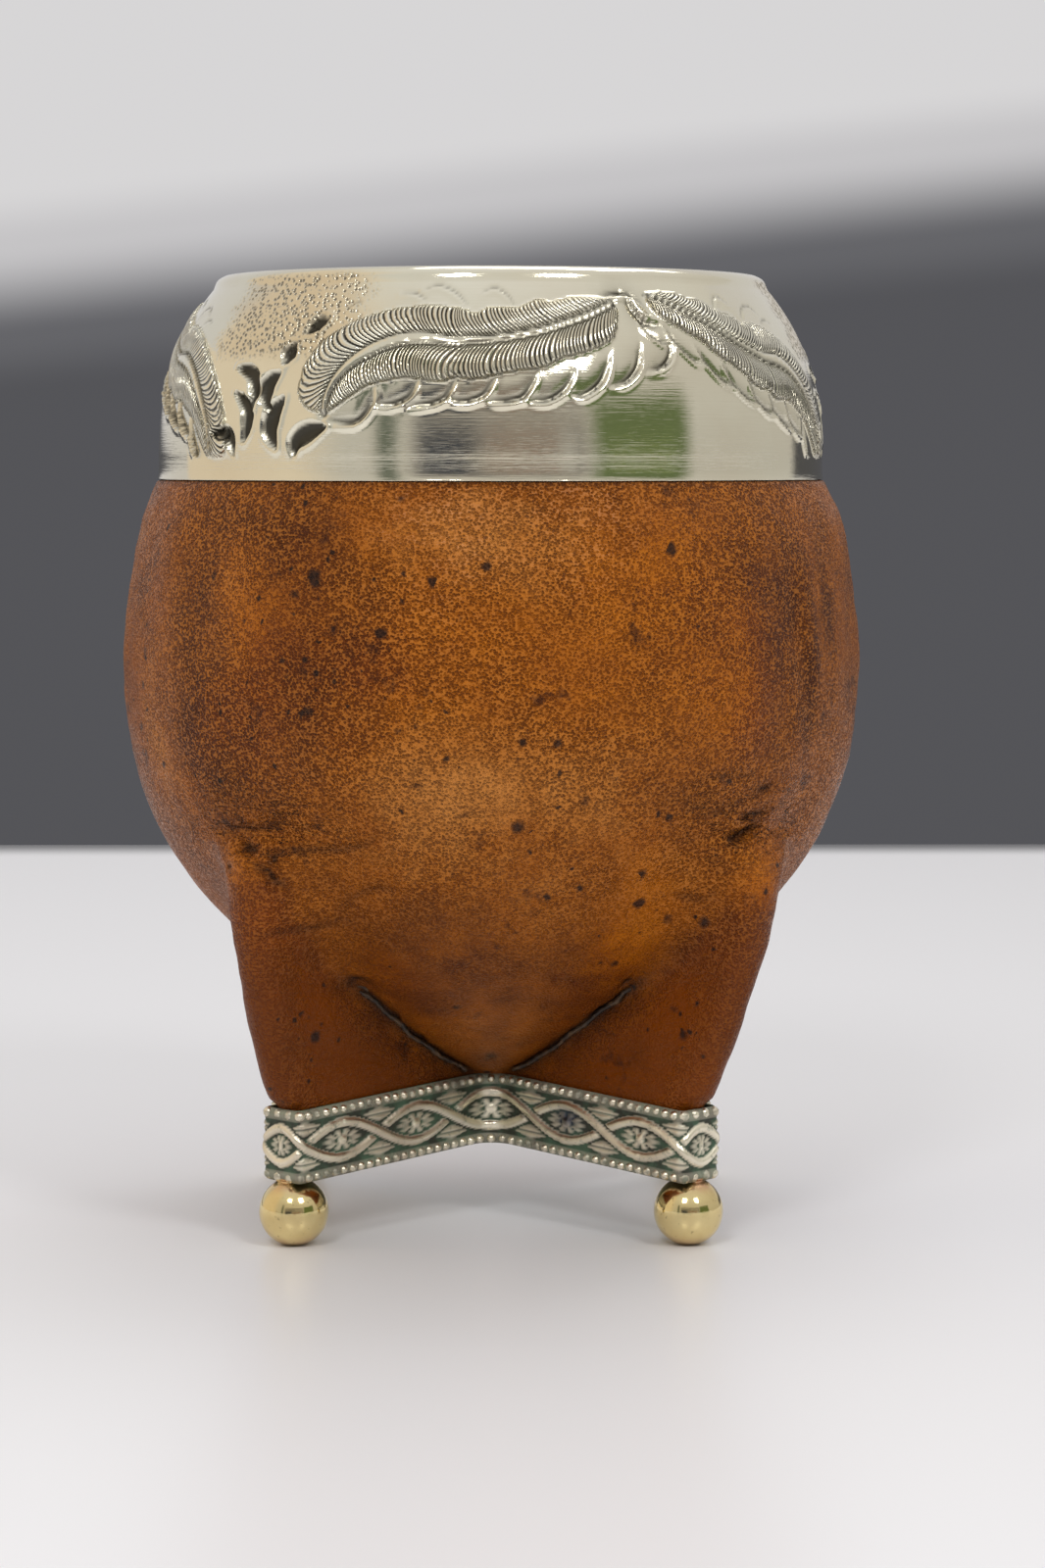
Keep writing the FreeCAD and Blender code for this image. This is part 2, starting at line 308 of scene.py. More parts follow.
def makeTarnishGroup():
    # handled metal: a cloudy film that is darker and rougher where the noise is high
    tree, inside, outside = newGroup(
        "tarnishFilm",
        [("Vector", "NodeSocketVector", None), ("Size", "NodeSocketFloat", 60.0),
         ("Amount", "NodeSocketFloat", 0.5)],
        [("Film", "NodeSocketFloat"), ("Spots", "NodeSocketFloat")],
    )
    cloud = node(tree, "ShaderNodeTexNoise")
    cloud.inputs["Detail"].default_value = 4.0
    cloud.inputs["Roughness"].default_value = 0.6
    tree.links.new(inside.outputs["Vector"], cloud.inputs["Vector"])
    tree.links.new(inside.outputs["Size"], cloud.inputs["Scale"])
    film = ramp(tree, cloud.outputs[0], [(0.38, 0.0), (0.72, 1.0)])
    tree.links.new(maths(tree, "MULTIPLY", film, inside.outputs["Amount"]), outside.inputs["Film"])
    fine = node(tree, "ShaderNodeTexNoise")
    tree.links.new(inside.outputs["Vector"], fine.inputs["Vector"])
    tree.links.new(maths(tree, "MULTIPLY", inside.outputs["Size"], 9.0), fine.inputs["Scale"])
    spots = ramp(tree, fine.outputs[0], [(0.66, 0.0), (0.74, 1.0)])
    tree.links.new(maths(tree, "MULTIPLY", spots, inside.outputs["Amount"]), outside.inputs["Spots"])
    return tree


def makeScratchGroup():
    # fine scratches: the height of a detailed noise, to be stretched by the vector it is given
    tree, inside, outside = newGroup(
        "fineScratches",
        [("Vector", "NodeSocketVector", None), ("Size", "NodeSocketFloat", 200.0)],
        [("Height", "NodeSocketFloat")],
    )
    lines = node(tree, "ShaderNodeTexNoise")
    lines.inputs["Detail"].default_value = 3.0
    lines.inputs["Roughness"].default_value = 0.65
    tree.links.new(inside.outputs["Vector"], lines.inputs["Vector"])
    tree.links.new(inside.outputs["Size"], lines.inputs["Scale"])
    tree.links.new(lines.outputs[0], outside.inputs["Height"])
    return tree


tarnishFilm = makeTarnishGroup()
fineScratches = makeScratchGroup()
print("shader groups made")


# hide

legAngles = {}
for leg in ("front_left", "front_right", "back_right", "back_left"):
    low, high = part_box("ball_foot_" + leg)
    legAngles[leg] = degrees(atan2((low.y + high.y) / 2, (low.x + high.x) / 2)) % 360

hide = {
    "bellyRadius": 44.9, "bellyHeight": 69.0, "pointHeight": 18.0, "pointRadius": 6.5,
    "lowerFullness": 2.5, "upperFullness": 1.8, "shoulderDrop": 3.6, "rimHeight": 90.0,
    "footHeight": 10.4, "tuckTop": 101.5, "tuckRadius": 38.6, "innerRadius": 42.6, "innerBottom": 24.6,
    "finHalf": 2.4, "finHalfAtTop": 3.2, "twist": 3.75,
    # height of each point on a fin's ridge, and how far out it stands
    "ridge": [(10, 34.3), (16.4, 34.7), (17.6, 36.3), (19.5, 37.3), (22.6, 38.6), (26.1, 39.9),
              (29.7, 41.1), (33.2, 42.1), (36.7, 42.9), (40.1, 43.3), (43.5, 43.2), (46.0, 42.5),
              (48.0, 40.2), (50.0, 34.0), (52.0, 24.0), (56.0, 4.0)],
    # how softly a fin runs into the belly, at the lacing and at its top
    "filletLow": 1.6, "filletHigh": 9.0,
    "laceDepth": 0.62, "lumps": 0.28,
    # spacing of columns on a fin's face, mm, and round the belly, degrees
    "faceStep": 0.8, "turnStep": 1.05,
    "columnsInEighth": 76,
    # the radius at which degrees round the hide are drawn as millimetres
    "arcRadius": 42.0,
    "colour": (0.285, 0.076, 0.0025, 1), "dark": (0.072, 0.016, 0.0012, 1), "tan": (0.53, 0.200, 0.040, 1),
    "amber": (0.44, 0.120, 0.0008, 1), "deepAmber": (0.225, 0.048, 0.0005, 1), "crownHighlight": (0.50, 0.185, 0.030, 1),
    "pore": (0.070, 0.014, 0.0025, 1),
    "roughness": 0.44, "specular": 0.16,
    # pores: how many to a metre, the size of their unevenness, how dark, and how deep in metres
    "poreScale": 3200.0, "poreUneven": 1700.0, "poreDark": 0.70, "poreDepth": 0.00034,
}

# soft marks in the hide's colour: azimuth, height, width in degrees, width in mm, lightness and amber
hideMarks = [
    (-31, 82, 9, 7, -0.55, 0.2), (-30, 68, 8, 6, -0.8, 0.35), (-17, 69, 8, 4.5, -0.65, 0.25),
    (-36, 59, 7, 6, -0.4, 0.3), (-38, 66, 6, 8, 0.05, 0.9), (-11, 70, 8, 7, 0.15, 0.8),
    (22, 77, 12, 9, 0.05, 0.8), (33, 72, 9, 9, -0.15, 0.8), (10, 67, 10, 6, -0.2, 0.5),
    (-4, 85, 10, 6, 0.6, 0.0), (3, 79, 8, 7, 0.45, 0.0), (-11, 57, 16, 7, 0.5, 0.0),
    (15, 58, 16, 7, 0.35, 0.0), (0, 49, 20, 5, 0.1, 0.0), (45, 70, 5, 14, -0.5, 0.2),
    (60, 60, 8, 14, 0.25, 0.0), (-50, 72, 6, 12, -0.3, 0.0), (-62, 66, 8, 18, 0.2, 0.0),
    (0, 33, 32, 6, -0.25, 0.3), (31, 41, 6, 5, 0.15, 0.8), (-39, 41, 5, 6, -0.1, 0.6),
    (-25, 30, 12, 7, -0.45, 0.5), (28, 28, 12, 7, -0.5, 0.6), (-44, 63, 8, 6, -0.5, 0.6),
    (-22, 60, 5, 4, -0.35, 0.6), (-50, 58, 5, 5, -0.5, 0.3), (40, 62, 6, 5, -0.35, 0.7),
    (0, 55, 18, 4, 0.35, 0.0), (-8, 46, 12, 4, 0.25, 0.2), (12, 41, 9, 4, 0.3, 0.2),
    (26, 46, 6, 4, 0.3, 0.6), (0, 74, 6, 4, -0.3, 0.6), (14, 82, 6, 4, 0.3, 0.2), (-42, 78, 5, 5, 0.3, 0.6),
    # the three narrow dark marks below lie along the two upright creases on the right: painted shade in those
    # creases
    (52, 76, 4, 10, -0.5, 0.1), (57, 68, 2, 9, -0.9, 0.0), (63, 74, 2, 8, -0.7, 0.0),
    (33, 36, 4, 4, 0.25, 0.9), (-44, 45, 3, 2.5, 0.5, 0.8), (46, 44, 3, 3, 0.5, 0.8),
    (27, 39, 5, 5, 0.2, 0.9), (0, 70, 50, 9, 0.0, 0.5),
]

# creases in the hide: degrees round from the front (+ to the right) and height; then width and depth in mm
hideCreases = [
    ([(-44.1, 48.0), (-41.7, 47.7), (-39.2, 47.4)], 0.62, 1.1),
    ([(-46.1, 45.4), (-43.8, 45.5)], 0.4, 0.35),
    ([(-52.0, 49.6), (-49.2, 49.7), (-44.1, 50.0), (-37.4, 50.5), (-32.1, 51.6)], 0.35, 0.22),
    ([(-39.0, 47.7), (-32.2, 47.9), (-25.3, 48.0), (-19.8, 49.0), (-17.9, 50.5)], 0.33, 0.25),
    ([(-39.4, 45.9), (-36.8, 45.4), (-35.9, 44.4), (-34.0, 43.4)], 0.45, 0.45),
    ([(-36.3, 47.3), (-35.5, 46.2)], 0.5, 0.4),
    ([(-27.9, 41.0), (-25.3, 42.1), (-20.9, 43.4), (-16.3, 43.5)], 0.3, 0.16),
    ([(-40.0, 37.2), (-36.1, 38.2), (-30.7, 38.9), (-27.7, 40.0)], 0.3, 0.2),
    ([(41.0, 48.7), (44.8, 49.3), (46.8, 49.9), (49.1, 50.2)], 0.6, 0.75),
    ([(42.7, 50.8), (45.2, 51.4), (48.1, 51.6), (49.6, 52.2)], 0.5, 0.5),
    ([(44.4, 54.1), (47.7, 54.5), (49.2, 55.0)], 0.45, 0.4),
    ([(24.4, 53.2), (31.2, 53.3), (36.3, 52.3), (41.3, 52.3), (45.0, 51.4)], 0.32, 0.22),
    ([(33.2, 56.1), (37.3, 56.4), (42.4, 56.5), (46.0, 55.6)], 0.32, 0.2),
    ([(40.0, 48.0), (44.1, 48.7), (46.5, 49.5)], 0.4, 0.3),
    ([(33.7, 42.6), (39.2, 41.6), (40.8, 42.9)], 0.32, 0.18),
    ([(26.5, 54.9), (32.1, 55.1), (37.5, 54.2)], 0.3, 0.16),
    ([(52.8, 80.5), (53.7, 71.8), (56.1, 63.8), (57.0, 58.0)], 1.3, 0.3),
    ([(62.5, 81.9), (61.3, 72.8), (62.5, 66.0)], 1.5, 0.28),
    # the small loop where the lacing starts on the left, and the holes it passes through on the right
    ([(-37.4, 29.6), (-37.0, 30.9), (-35.2, 31.5), (-32.0, 31.0)], 0.45, 0.55),
    ([(37.0, 30.3), (38.6, 31.2)], 0.6, 0.6), ([(36.2, 26.4), (38.6, 27.1), (39.8, 27.3)], 0.75, 0.7),
    ([(34.5, 23.6), (37.6, 24.4)], 0.55, 0.5),
    ([(-37.0, 25.4), (-34.2, 26.3), (-32.6, 27.1)], 0.5, 0.5), ([(-35.6, 22.6), (-31.2, 23.6)], 0.45, 0.45),
    ([(-4.5, 20.2), (0, 20.5), (4.5, 20.2)], 0.55, 0.35),
    ([(136, 47.8), (139, 47.4), (142, 47.7)], 0.55, 0.9), ([(130, 50), (138, 49.6), (146, 50.6)], 0.35, 0.25),
    ([(-142, 47.9), (-139, 47.5), (-136, 47.8)], 0.55, 0.8),
    ([(-150, 50.2), (-140, 49.8), (-130, 50.8)], 0.35, 0.25),
]


def softMarks(azimuth, z):
    # lightness and amber at each point: slow waves all round, and the marks laid over them
    turn = np.radians(azimuth)
    x, y = np.cos(turn) * hide["arcRadius"], np.sin(turn) * hide["arcRadius"]
    tone = 0.30 * waves(71, 16, 9, 30, x, y, z)
    amber = np.clip(0.25 + 0.6 * waves(72, 14, 12, 34, x, y, z), 0, 1)
    front = np.exp(-np.clip(np.abs(azimuth) - 62, 0, None) ** 2 / 300)
    tone, amber = tone * (1 - 0.7 * front), amber * (1 - 0.8 * front)
    for markAzimuth, markZ, wide, tall, light, gold in hideMarks:
        near = np.exp(-((azimuth - markAzimuth) / wide) ** 2 - ((z - markZ) / tall) ** 2)
        tone = tone + light * near
        amber = amber + gold * near
    return tone, np.clip(amber, 0, 1)


def bellyOutline(z):
    # the belly's radius at each height: a power curve below its widest place and another above it
    h = hide
    low = (h["bellyHeight"] - z) / (h["bellyHeight"] - h["pointHeight"])
    fullness = 1 - np.clip(low, 0, 9) ** h["lowerFullness"]
    lower = h["pointRadius"] + (h["bellyRadius"] - h["pointRadius"]) * fullness
    high = np.clip((z - h["bellyHeight"]) / (h["rimHeight"] - h["bellyHeight"]), 0, 2)
    upper = h["bellyRadius"] - h["shoulderDrop"] * high ** h["upperFullness"] - 0.75 * smoothStep(z, 85, 90)
    return np.where(z < h["bellyHeight"], np.maximum(lower, -60), upper)


def turnedTwist(z):
    # degrees by which the fins lean round at each height
    return hide["twist"] * smoothStep(z, 16.5, 46.0)


def finDistance(rho, theta, z, leg):
    # signed distance in plan from a fin: a plate with a fully rounded outer edge
    delta = np.radians(theta - legAngles[leg])
    p, q = rho * np.cos(delta), rho * np.sin(delta)
    ridgeZ, ridgeR = np.array(hide["ridge"]).T
    reach = np.interp(z, ridgeZ, ridgeR)
    thicker = (hide["finHalfAtTop"] - hide["finHalf"]) * smoothStep(z, 20, 45)
    half = hide["finHalf"] + thicker * smoothStep(p, 22, 42)
    half = half + 0.18 * np.sin(z * 0.55 + legAngles[leg]) * smoothStep(z, 18, 24)
    end = np.minimum(half, 2.4)
    wide = half / end
    beyond = np.maximum(p - (reach - end), 0) * wide + np.maximum(-p, 0)
    return np.hypot(beyond, q) - half


def hideDistance(rho, theta, z):
    # the belly joined to the four fins by a soft minimum, and how near each point is to the join
    slope = bellyOutline(z + 0.5) - bellyOutline(z - 0.5)
    belly = (rho - bellyOutline(z)) / np.sqrt(1 + np.minimum(slope, 3) ** 2)
    fins = np.minimum.reduce([finDistance(rho, theta, z, leg) for leg in legAngles])
    soft = hide["filletLow"] + (hide["filletHigh"] - hide["filletLow"]) * smoothStep(z, 27, 42)
    overlap = np.maximum(soft - np.abs(belly - fins), 0) / soft
    return np.minimum(belly, fins) - overlap ** 2 * soft / 4, belly - fins


def hideColumns():
    # angles round the hide: even round the belly, closer where a fin's face runs nearly along the ray
    legs = sorted(legAngles.values())
    marks = []
    for k, angle in enumerate(legs):
        following = legs[(k + 1) % 4] + (360 if k == 3 else 0)
        middle = (angle + following) / 2
        for start, end, flip in ((angle, middle, False), (middle, following, True)):
            d = np.linspace(0, end - start, 4000)
            delta = np.radians(np.maximum(d, 0.4))
            face = hide["finHalf"] * np.cos(delta) / np.sin(delta) ** 2 * radians(1) / hide["faceStep"]
            density = np.where(d < 3.6, 2.4, np.maximum(np.minimum(face, 2.6), 1 / hide["turnStep"]))
            total = np.concatenate([[0], np.cumsum((density[1:] + density[:-1]) / 2 * np.diff(d))])
            steps = np.interp(np.linspace(0, total[-1], hide["columnsInEighth"] + 1), total, d)
            marks.append(start + ((end - start) - steps[::-1][:-1] if flip else steps[:-1]))
    return np.concatenate(marks)


def hideSurface(columns, heights):
    # for each angle and height, the outermost point where the distance turns positive, found by halving
    theta = columns[None, :] + 0 * heights[:, None]
    z = heights[:, None] + 0 * theta
    trial = np.linspace(47.5, 0.5, 48)
    outer = np.full(theta.shape, 0.5)
    found = np.zeros(theta.shape, bool)
    for rho in trial:
        inside = (hideDistance(rho, theta, z)[0] < 0) & ~found
        outer[inside] = rho
        found |= inside
    low, high = outer, outer + 1.0
    for k in range(9):
        middle = (low + high) / 2
        inside = hideDistance(middle, theta, z)[0] < 0
        low, high = np.where(inside, middle, low), np.where(inside, high, middle)
    rho = (low + high) / 2
    join = hideDistance(rho, theta, z)[1]
    return rho, theta, z, join


def makeHide(material):
    # outer surface from the foot of the fins up to the ring, then tucked under it and back down inside
    low = np.concatenate([np.arange(hide["footHeight"], 16.0, 1.4), np.arange(16.0, 52.0, 0.5)])
    high = np.concatenate([np.arange(52.0, 86.0, 0.85), np.arange(86.0, 89.4, 0.5)])
    columns = hideColumns()
    count = len(columns)
    rhoLow, thetaLow, zLow, joinLow = hideSurface(columns, low)
    rhoHigh, thetaHigh, zHigh, joinHigh = hideSurface(columns[::2], high)
    points, shades, finShades = [], [], []
    tones, ambers, wrinkles, seams = [], [], [], []
    for rho, theta, z, join in ((rhoLow, thetaLow, zLow, joinLow), (rhoHigh, thetaHigh, zHigh, joinHigh)):
        turned = np.radians(theta + turnedTwist(z))
        x, y = rho * np.cos(turned), rho * np.sin(turned)
        lumps = waves(3, 14, 9, 30, x, y, z) * hide["lumps"] * smoothStep(z, 19, 26)
        lumps = lumps * (1 - smoothStep(z, 84, 89))
        small = waves(8, 18, 2.6, 6, x, y, z) * 0.05 * smoothStep(z, 19, 24)
        laceBand = smoothStep(z, 17, 18.5) * (1 - smoothStep(z, 29, 33))
        # along the lacing the join is grooved, and the same mask paints shade into the groove
        shade = np.exp(-(join / 1.1) ** 2) * laceBand
        groove = hide["laceDepth"] * shade
        front = halfTurns(np.degrees(turned) + 90)
        arc = front * radians(1) * hide["arcRadius"]
        depth = np.zeros_like(rho)
        for path, width, deep in hideCreases:
            width = max(width, 0.5)
            line = curveThrough(np.array(path) * (radians(1) * hide["arcRadius"], 1), 14)
            near, distance, along, side = strokeField(arc, z, line, width)
            if distance is None:
                continue
            fade = np.sin(np.clip(along, 0.02, 0.98) * pi) ** 0.6
            swell = 0.28 * np.exp(-((distance - 2 * width) / width) ** 2)
            depth[near] += deep * fade * (np.exp(-(distance / width) ** 2) - swell)
            # narrow creases are also painted dark: painted shade in their folds
            dark = fade * np.exp(-(distance / width / 0.9) ** 2) * min(1, deep * 2.6) * (width < 1)
            shade[near] = np.maximum(shade[near], dark)
        dent = 0.5 * np.exp(-((front + 82) / 30) ** 2) * smoothStep(z, 52, 62) * (1 - smoothStep(z, 84, 89))
        rho = rho + lumps + small - groove - depth - dent
        x, y = rho * np.cos(turned), rho * np.sin(turned)
        points.append(np.stack([x, y, z], -1).reshape(-1, 3))
        tone, amber = softMarks(front, z)
        isFin = smoothStep(join, -1.0, 5.0) * (1 - smoothStep(z, 42, 47))
        tones.append((tone - isFin * (0.85 - 0.25 * smoothStep(z, 22, 44))).ravel())
        ambers.append(np.clip(amber + 0.45 * isFin, 0, 1).ravel())
        legAzimuth = [halfTurns(a + 90) + hide["twist"] for a in legAngles.values()]
        off = np.min([np.abs(halfTurns(front - a)) for a in legAzimuth], axis=0)
        wrinkles.append((0.8 * np.exp(-(off / 13) ** 2) * np.exp(-((z - 50.0) / 3.6) ** 2)).ravel())
        # the line inside a fin's rounded edge, where pores gather
        ridgeZ, ridgeR = np.array(hide["ridge"]).T
        aside = np.minimum.reduce([np.abs(halfTurns(theta - a)) for a in legAngles.values()])
        p = rho * np.cos(np.radians(aside))
        seam = np.exp(-((p - np.interp(z, ridgeZ, ridgeR) + 4.9) / 1.1) ** 2) * smoothStep(z, 17, 20)
        seam = seam * (1 - smoothStep(z, 41, 45))
        # specks gather on the left of the belly, and a little in its middle
        leftOnes = 0.75 * np.exp(-((front + 24) / 13) ** 2 - ((z - 71) / 12) ** 2)
        gathered = leftOnes + 0.4 * np.exp(-((front - 8) / 16) ** 2 - ((z - 56) / 6) ** 2)
        seams.append(np.maximum(seam * (join > 0), gathered).ravel())
        shades.append(shade.ravel())
        band = smoothStep(p - np.interp(z, ridgeZ, ridgeR), -5.2, -3.8) * (join > 0)
        finShades.append((smoothStep(join, -2.0, 6.0) * (1 - smoothStep(z, 44, 50)) * (1 - 0.8 * band)).ravel())
    # the shoulder rolls in under the ring; the inside follows the gourd down to its bottom
    half = columns[::2]
    turn = np.radians(half + hide["twist"])
    edge = bellyOutline(np.array([89.4]))[0]
    roll = [(89.75, edge - 0.2), (89.95, edge - 0.7), (90.05, edge - 1.4), (90.3, 39.3), (94, 39.1),
            (98, hide["tuckRadius"] + 0.2), (hide["tuckTop"], hide["tuckRadius"] - 1.6),
            (hide["tuckTop"] + 0.1, 36.4)]
    inner = [(z, hide["innerRadius"] - 11.0 * ((z - 69) / 39) ** 1.4) for z in (100.0, 92.0, 84.0, 76.0)]
    for angle in np.linspace(0, pi / 2, 12)[:-1]:
        inner.append((69 - (69 - hide["innerBottom"]) * np.sin(angle), hide["innerRadius"] * np.cos(angle)))
    for z, rho in roll + inner:
        tones.append(np.full(len(turn), -0.1))
        ambers.append(np.full(len(turn), 0.2))
        wrinkles.append(np.zeros(len(turn)))
        seams.append(np.zeros(len(turn)))
        points.append(np.stack([rho * np.cos(turn), rho * np.sin(turn), np.full(len(turn), z)], -1))
        # painted shade: darker still in the roll under the ring, a little on the inside
        shades.append(np.full(len(turn), 0.6 if z > 89.9 else 0.25))
        finShades.append(np.zeros(len(turn)))
    sizes = [len(p) for p in points]
    points = np.vstack(points + [np.array([[0, 0, hide["footHeight"]], [0, 0, hide["innerBottom"]]])])
    shades = np.concatenate(shades + [[0, 0]])
    finShades = np.concatenate(finShades + [[0, 0]])
    first, second = 0, sizes[0]
    rows2 = len(high) + len(roll) + len(inner)
    quads = np.vstack([ringFaces(first, count, len(low)), ringFaces(second, count // 2, rows2)])
    lastDense = second - count
    lastLoop = second + (rows2 - 1) * (count // 2)
    tris = np.vstack([
        poleFaces(0, count, len(points) - 2, True),
        halvingFaces(lastDense, second, count),
        poleFaces(lastLoop, count // 2, len(points) - 1, False),
    ])
    pad = [[0, 0]]
    values = {"creaseShade": shades, "finSide": finShades, "tone": np.concatenate(tones + pad),
              "amber": np.concatenate(ambers + pad), "wrinkle": np.concatenate(wrinkles + pad),
              "seam": np.concatenate(seams + pad)}
    fillMesh("hide_skin", points, quads, tris, material, ("hide_cover",), values)


def makeHideMaterial():
    # vegetable-tanned hide: amber and brown clouds, fine grain of dark pits with crowns lightened as a painted
    # highlight, specks, wrinkles and creases painted dark as shade, and rubbed fins
    material, tree, shader = newMaterial("tannedHide")
    place = node(tree, "ShaderNodeTexCoord", -1800, 0).outputs["Object"]
    names = ("tone", "amber", "creaseShade", "finSide", "wrinkle", "seam")
    tone, amber, creaseShade, fin, wrinkle, seam = (attribute(tree, name) for name in names)
    broad = noise(tree, place, 75.0, 5.0, 0.68)
    fine = noise(tree, place, 260.0, 3.0, 0.6)
    light = maths(tree, "MULTIPLY_ADD", tone, 0.62, 0.42)
    light = maths(tree, "ADD", light, maths(tree, "MULTIPLY_ADD", broad, 0.70, -0.35))
    light = maths(tree, "ADD", light, maths(tree, "MULTIPLY_ADD", fine, 0.55, -0.275))
    base = ramp(tree, light, [(0.05, hide["dark"]), (0.5, hide["colour"]), (0.95, hide["tan"])])
    gold = maths(tree, "MULTIPLY", amber, ramp(tree, broad, [(0.30, 0.45), (0.60, 0.95)]))
    goldColour = blendColour(tree, ramp(tree, light, [(0.1, 0.0), (0.6, 1.0)]), hide["deepAmber"],
            hide["amber"])
    base = blendColour(tree, gold, base, goldColour)
    # grain: small dark pits close together, fading out on the fins and low down, and patchy elsewhere
    parts = node(tree, "ShaderNodeSeparateXYZ")
    tree.links.new(place, parts.inputs[0])
    lowDown = maths(tree, "MULTIPLY_ADD", parts.outputs[2], -55.0, 2.75, clamp=True)
    smooth = maths(tree, "MAXIMUM", maths(tree, "MULTIPLY", lowDown, 0.70), maths(tree, "MULTIPLY", fin, 0.9))
    patchy = ramp(tree, noise(tree, place, 85.0, 3.0, 0.6), [(0.34, 0.55), (0.60, 1.0)])
    grain = maths(tree, "MULTIPLY", patchy, maths(tree, "SUBTRACT", 1.0, smooth, clamp=True))
    pores = node(tree, "ShaderNodeTexVoronoi", feature="F1")
    pores.inputs["Scale"].default_value = hide["poreScale"]
    tree.links.new(placed(tree, place, (1, 1, 1.2)), pores.inputs["Vector"])
    uneven = maths(tree, "MULTIPLY_ADD", noise(tree, place, hide["poreUneven"], 2.0, 0.6), 0.8, -0.40)
    pitNoise = maths(tree, "ADD", pores.outputs["Distance"], uneven)
    pit = ramp(tree, pitNoise, [(0.18, 1.0), (0.40, 0.0)])
    pitMask = maths(tree, "MULTIPLY", pit, grain)
    base = blendColour(tree, maths(tree, "MULTIPLY", pitMask, hide["poreDark"]), base, hide["pore"])
    # the grain's crowns lightened: a painted highlight on the raised grain
    crownHighlight = ramp(tree, pitNoise, [(0.46, 0.0), (0.74, 0.45)])
    base = blendColour(tree, maths(tree, "MULTIPLY", crownHighlight, grain), base, hide["crownHighlight"])
    # round near-black specks, thicker in some places and along the fins' edges
    gather = noise(tree, placed(tree, place, (1, 1, 1), (0.7, 2.2, 0.9)), 42.0, 2.0, 0.6)
    bent = node(tree, "ShaderNodeVectorMath", operation="ADD")
    tree.links.new(place, bent.inputs[0])
    wobble = node(tree, "ShaderNodeTexNoise")
    wobble.inputs["Scale"].default_value = 900.0
    tree.links.new(place, wobble.inputs["Vector"])
    tree.links.new(placed(tree, wobble.outputs["Color"], (0.0011, 0.0011, 0.0007)), bent.inputs[1])
    for size, first, gathering in ((290.0, -0.84, 0.75), (620.0, -0.94, 0.72)):
        specks = node(tree, "ShaderNodeTexVoronoi", feature="F1")
        specks.inputs["Scale"].default_value = size
        tree.links.new(bent.outputs[0], specks.inputs["Vector"])
        chance = node(tree, "ShaderNodeSeparateColor")
        tree.links.new(specks.outputs["Color"], chance.inputs[0])
        grow = maths(tree, "MULTIPLY_ADD", chance.outputs[1], 0.9, 0.55)
        dot = ramp(tree, maths(tree, "DIVIDE", specks.outputs["Distance"], grow), [(0.11, 1.0), (0.22, 0.0)])
        level = maths(tree, "ADD", maths(tree, "MULTIPLY_ADD", gather, 1.9, first),
                maths(tree, "MULTIPLY", seam, gathering))
        picked = maths(tree, "LESS_THAN", chance.outputs[0], level)
        base = blendColour(tree, maths(tree, "MULTIPLY", maths(tree, "MULTIPLY", dot, picked), 0.9), base,
                (0.016, 0.008, 0.006, 1))
    smudge = noise(tree, placed(tree, place, (1, 1, 1), (5.0, 1.0, 0.0)), 150.0, 4.0, 0.72)
    blotch = ramp(tree, smudge, [(0.61, 0.0), (0.70, 0.75)])
    base = blendColour(tree, blotch, base, (0.050, 0.013, 0.004, 1))
    # fine wrinkles across the tops of the fins, bumped in and painted dark as shade in their folds
    lines = noise(tree, placed(tree, place, (1, 1, 4.5)), 190.0, 3.0, 0.6, 0.9)
    line = ramp(tree, lines, [(0.468, 0.0), (0.488, 1.0), (0.494, 1.0), (0.514, 0.0)])
    lineMask = maths(tree, "MULTIPLY", line, wrinkle)
    base = blendColour(tree, maths(tree, "MULTIPLY", lineMask, 0.9), base, (0.030, 0.012, 0.008, 1))
    # painted shade: near black along the creases, the lacing groove and under the ring's roll
    base = blendColour(tree, maths(tree, "MULTIPLY", creaseShade, 0.92, clamp=True), base, (0.010, 0.005, 0.003, 1))
    tree.links.new(base, shader.inputs["Base Color"])
    rough = maths(tree, "MULTIPLY_ADD", noise(tree, place, 90.0, 3.0, 0.6), 0.24, hide["roughness"] - 0.12)
    rough = maths(tree, "SUBTRACT", rough, maths(tree, "MULTIPLY", fin, 0.08))
    rough = maths(tree, "SUBTRACT", rough, maths(tree, "MULTIPLY", crownHighlight, 0.22))
    tree.links.new(rough, shader.inputs["Roughness"])
    shader.inputs["Specular IOR Level"].default_value = hide["specular"]
    folds = noise(tree, placed(tree, place, (1, 1, 2.2)), 240.0, 4.0, 0.65, 0.4)
    normal = bump(tree, folds, 0.35, 0.0007)
    normal = bump(tree, maths(tree, "MULTIPLY", lineMask, -1.0), 0.9, 0.0005, normal)
    height = maths(tree, "MULTIPLY", ramp(tree, pitNoise, [(0.12, 0.0), (0.62, 1.0)]), grain)
    normal = bump(tree, height, 1.0, hide["poreDepth"], normal)
    tree.links.new(normal, shader.inputs["Normal"])
    return material


hideMaterial = makeHideMaterial()
makeHide(hideMaterial)
print("hide made")

# rim ring

ring = {
    "bottom": 90.0, "height": 24.4, "radius": 40.5, "flare": 0.12, "flareHeight": 1.0,
    "drop": 8.2, "fullness": 2.8, "wall": 0.8, "lipStart": 113.0, "lipRadius": 1.4,
    "funnelEnd": (26.5, 111.0),
    # plane: millimetres for a degree in the drawing below
    "columns": 960, "rowStep": 0.31, "plane": 0.698,
    # azimuths where two stems meet and where two leaf tips meet
    "stems": (27, 143, 260), "tips": (-42, 85, 201),
    "flutePitch": 0.50, "domeHeight": 0.34, "cutDepth": 0.55, "rimLift": 0.30,
    "metal": (0.80, 0.765, 0.625, 1), "shadow": (0.030, 0.027, 0.021, 1), "warm": (0.62, 0.47, 0.27, 1),
}

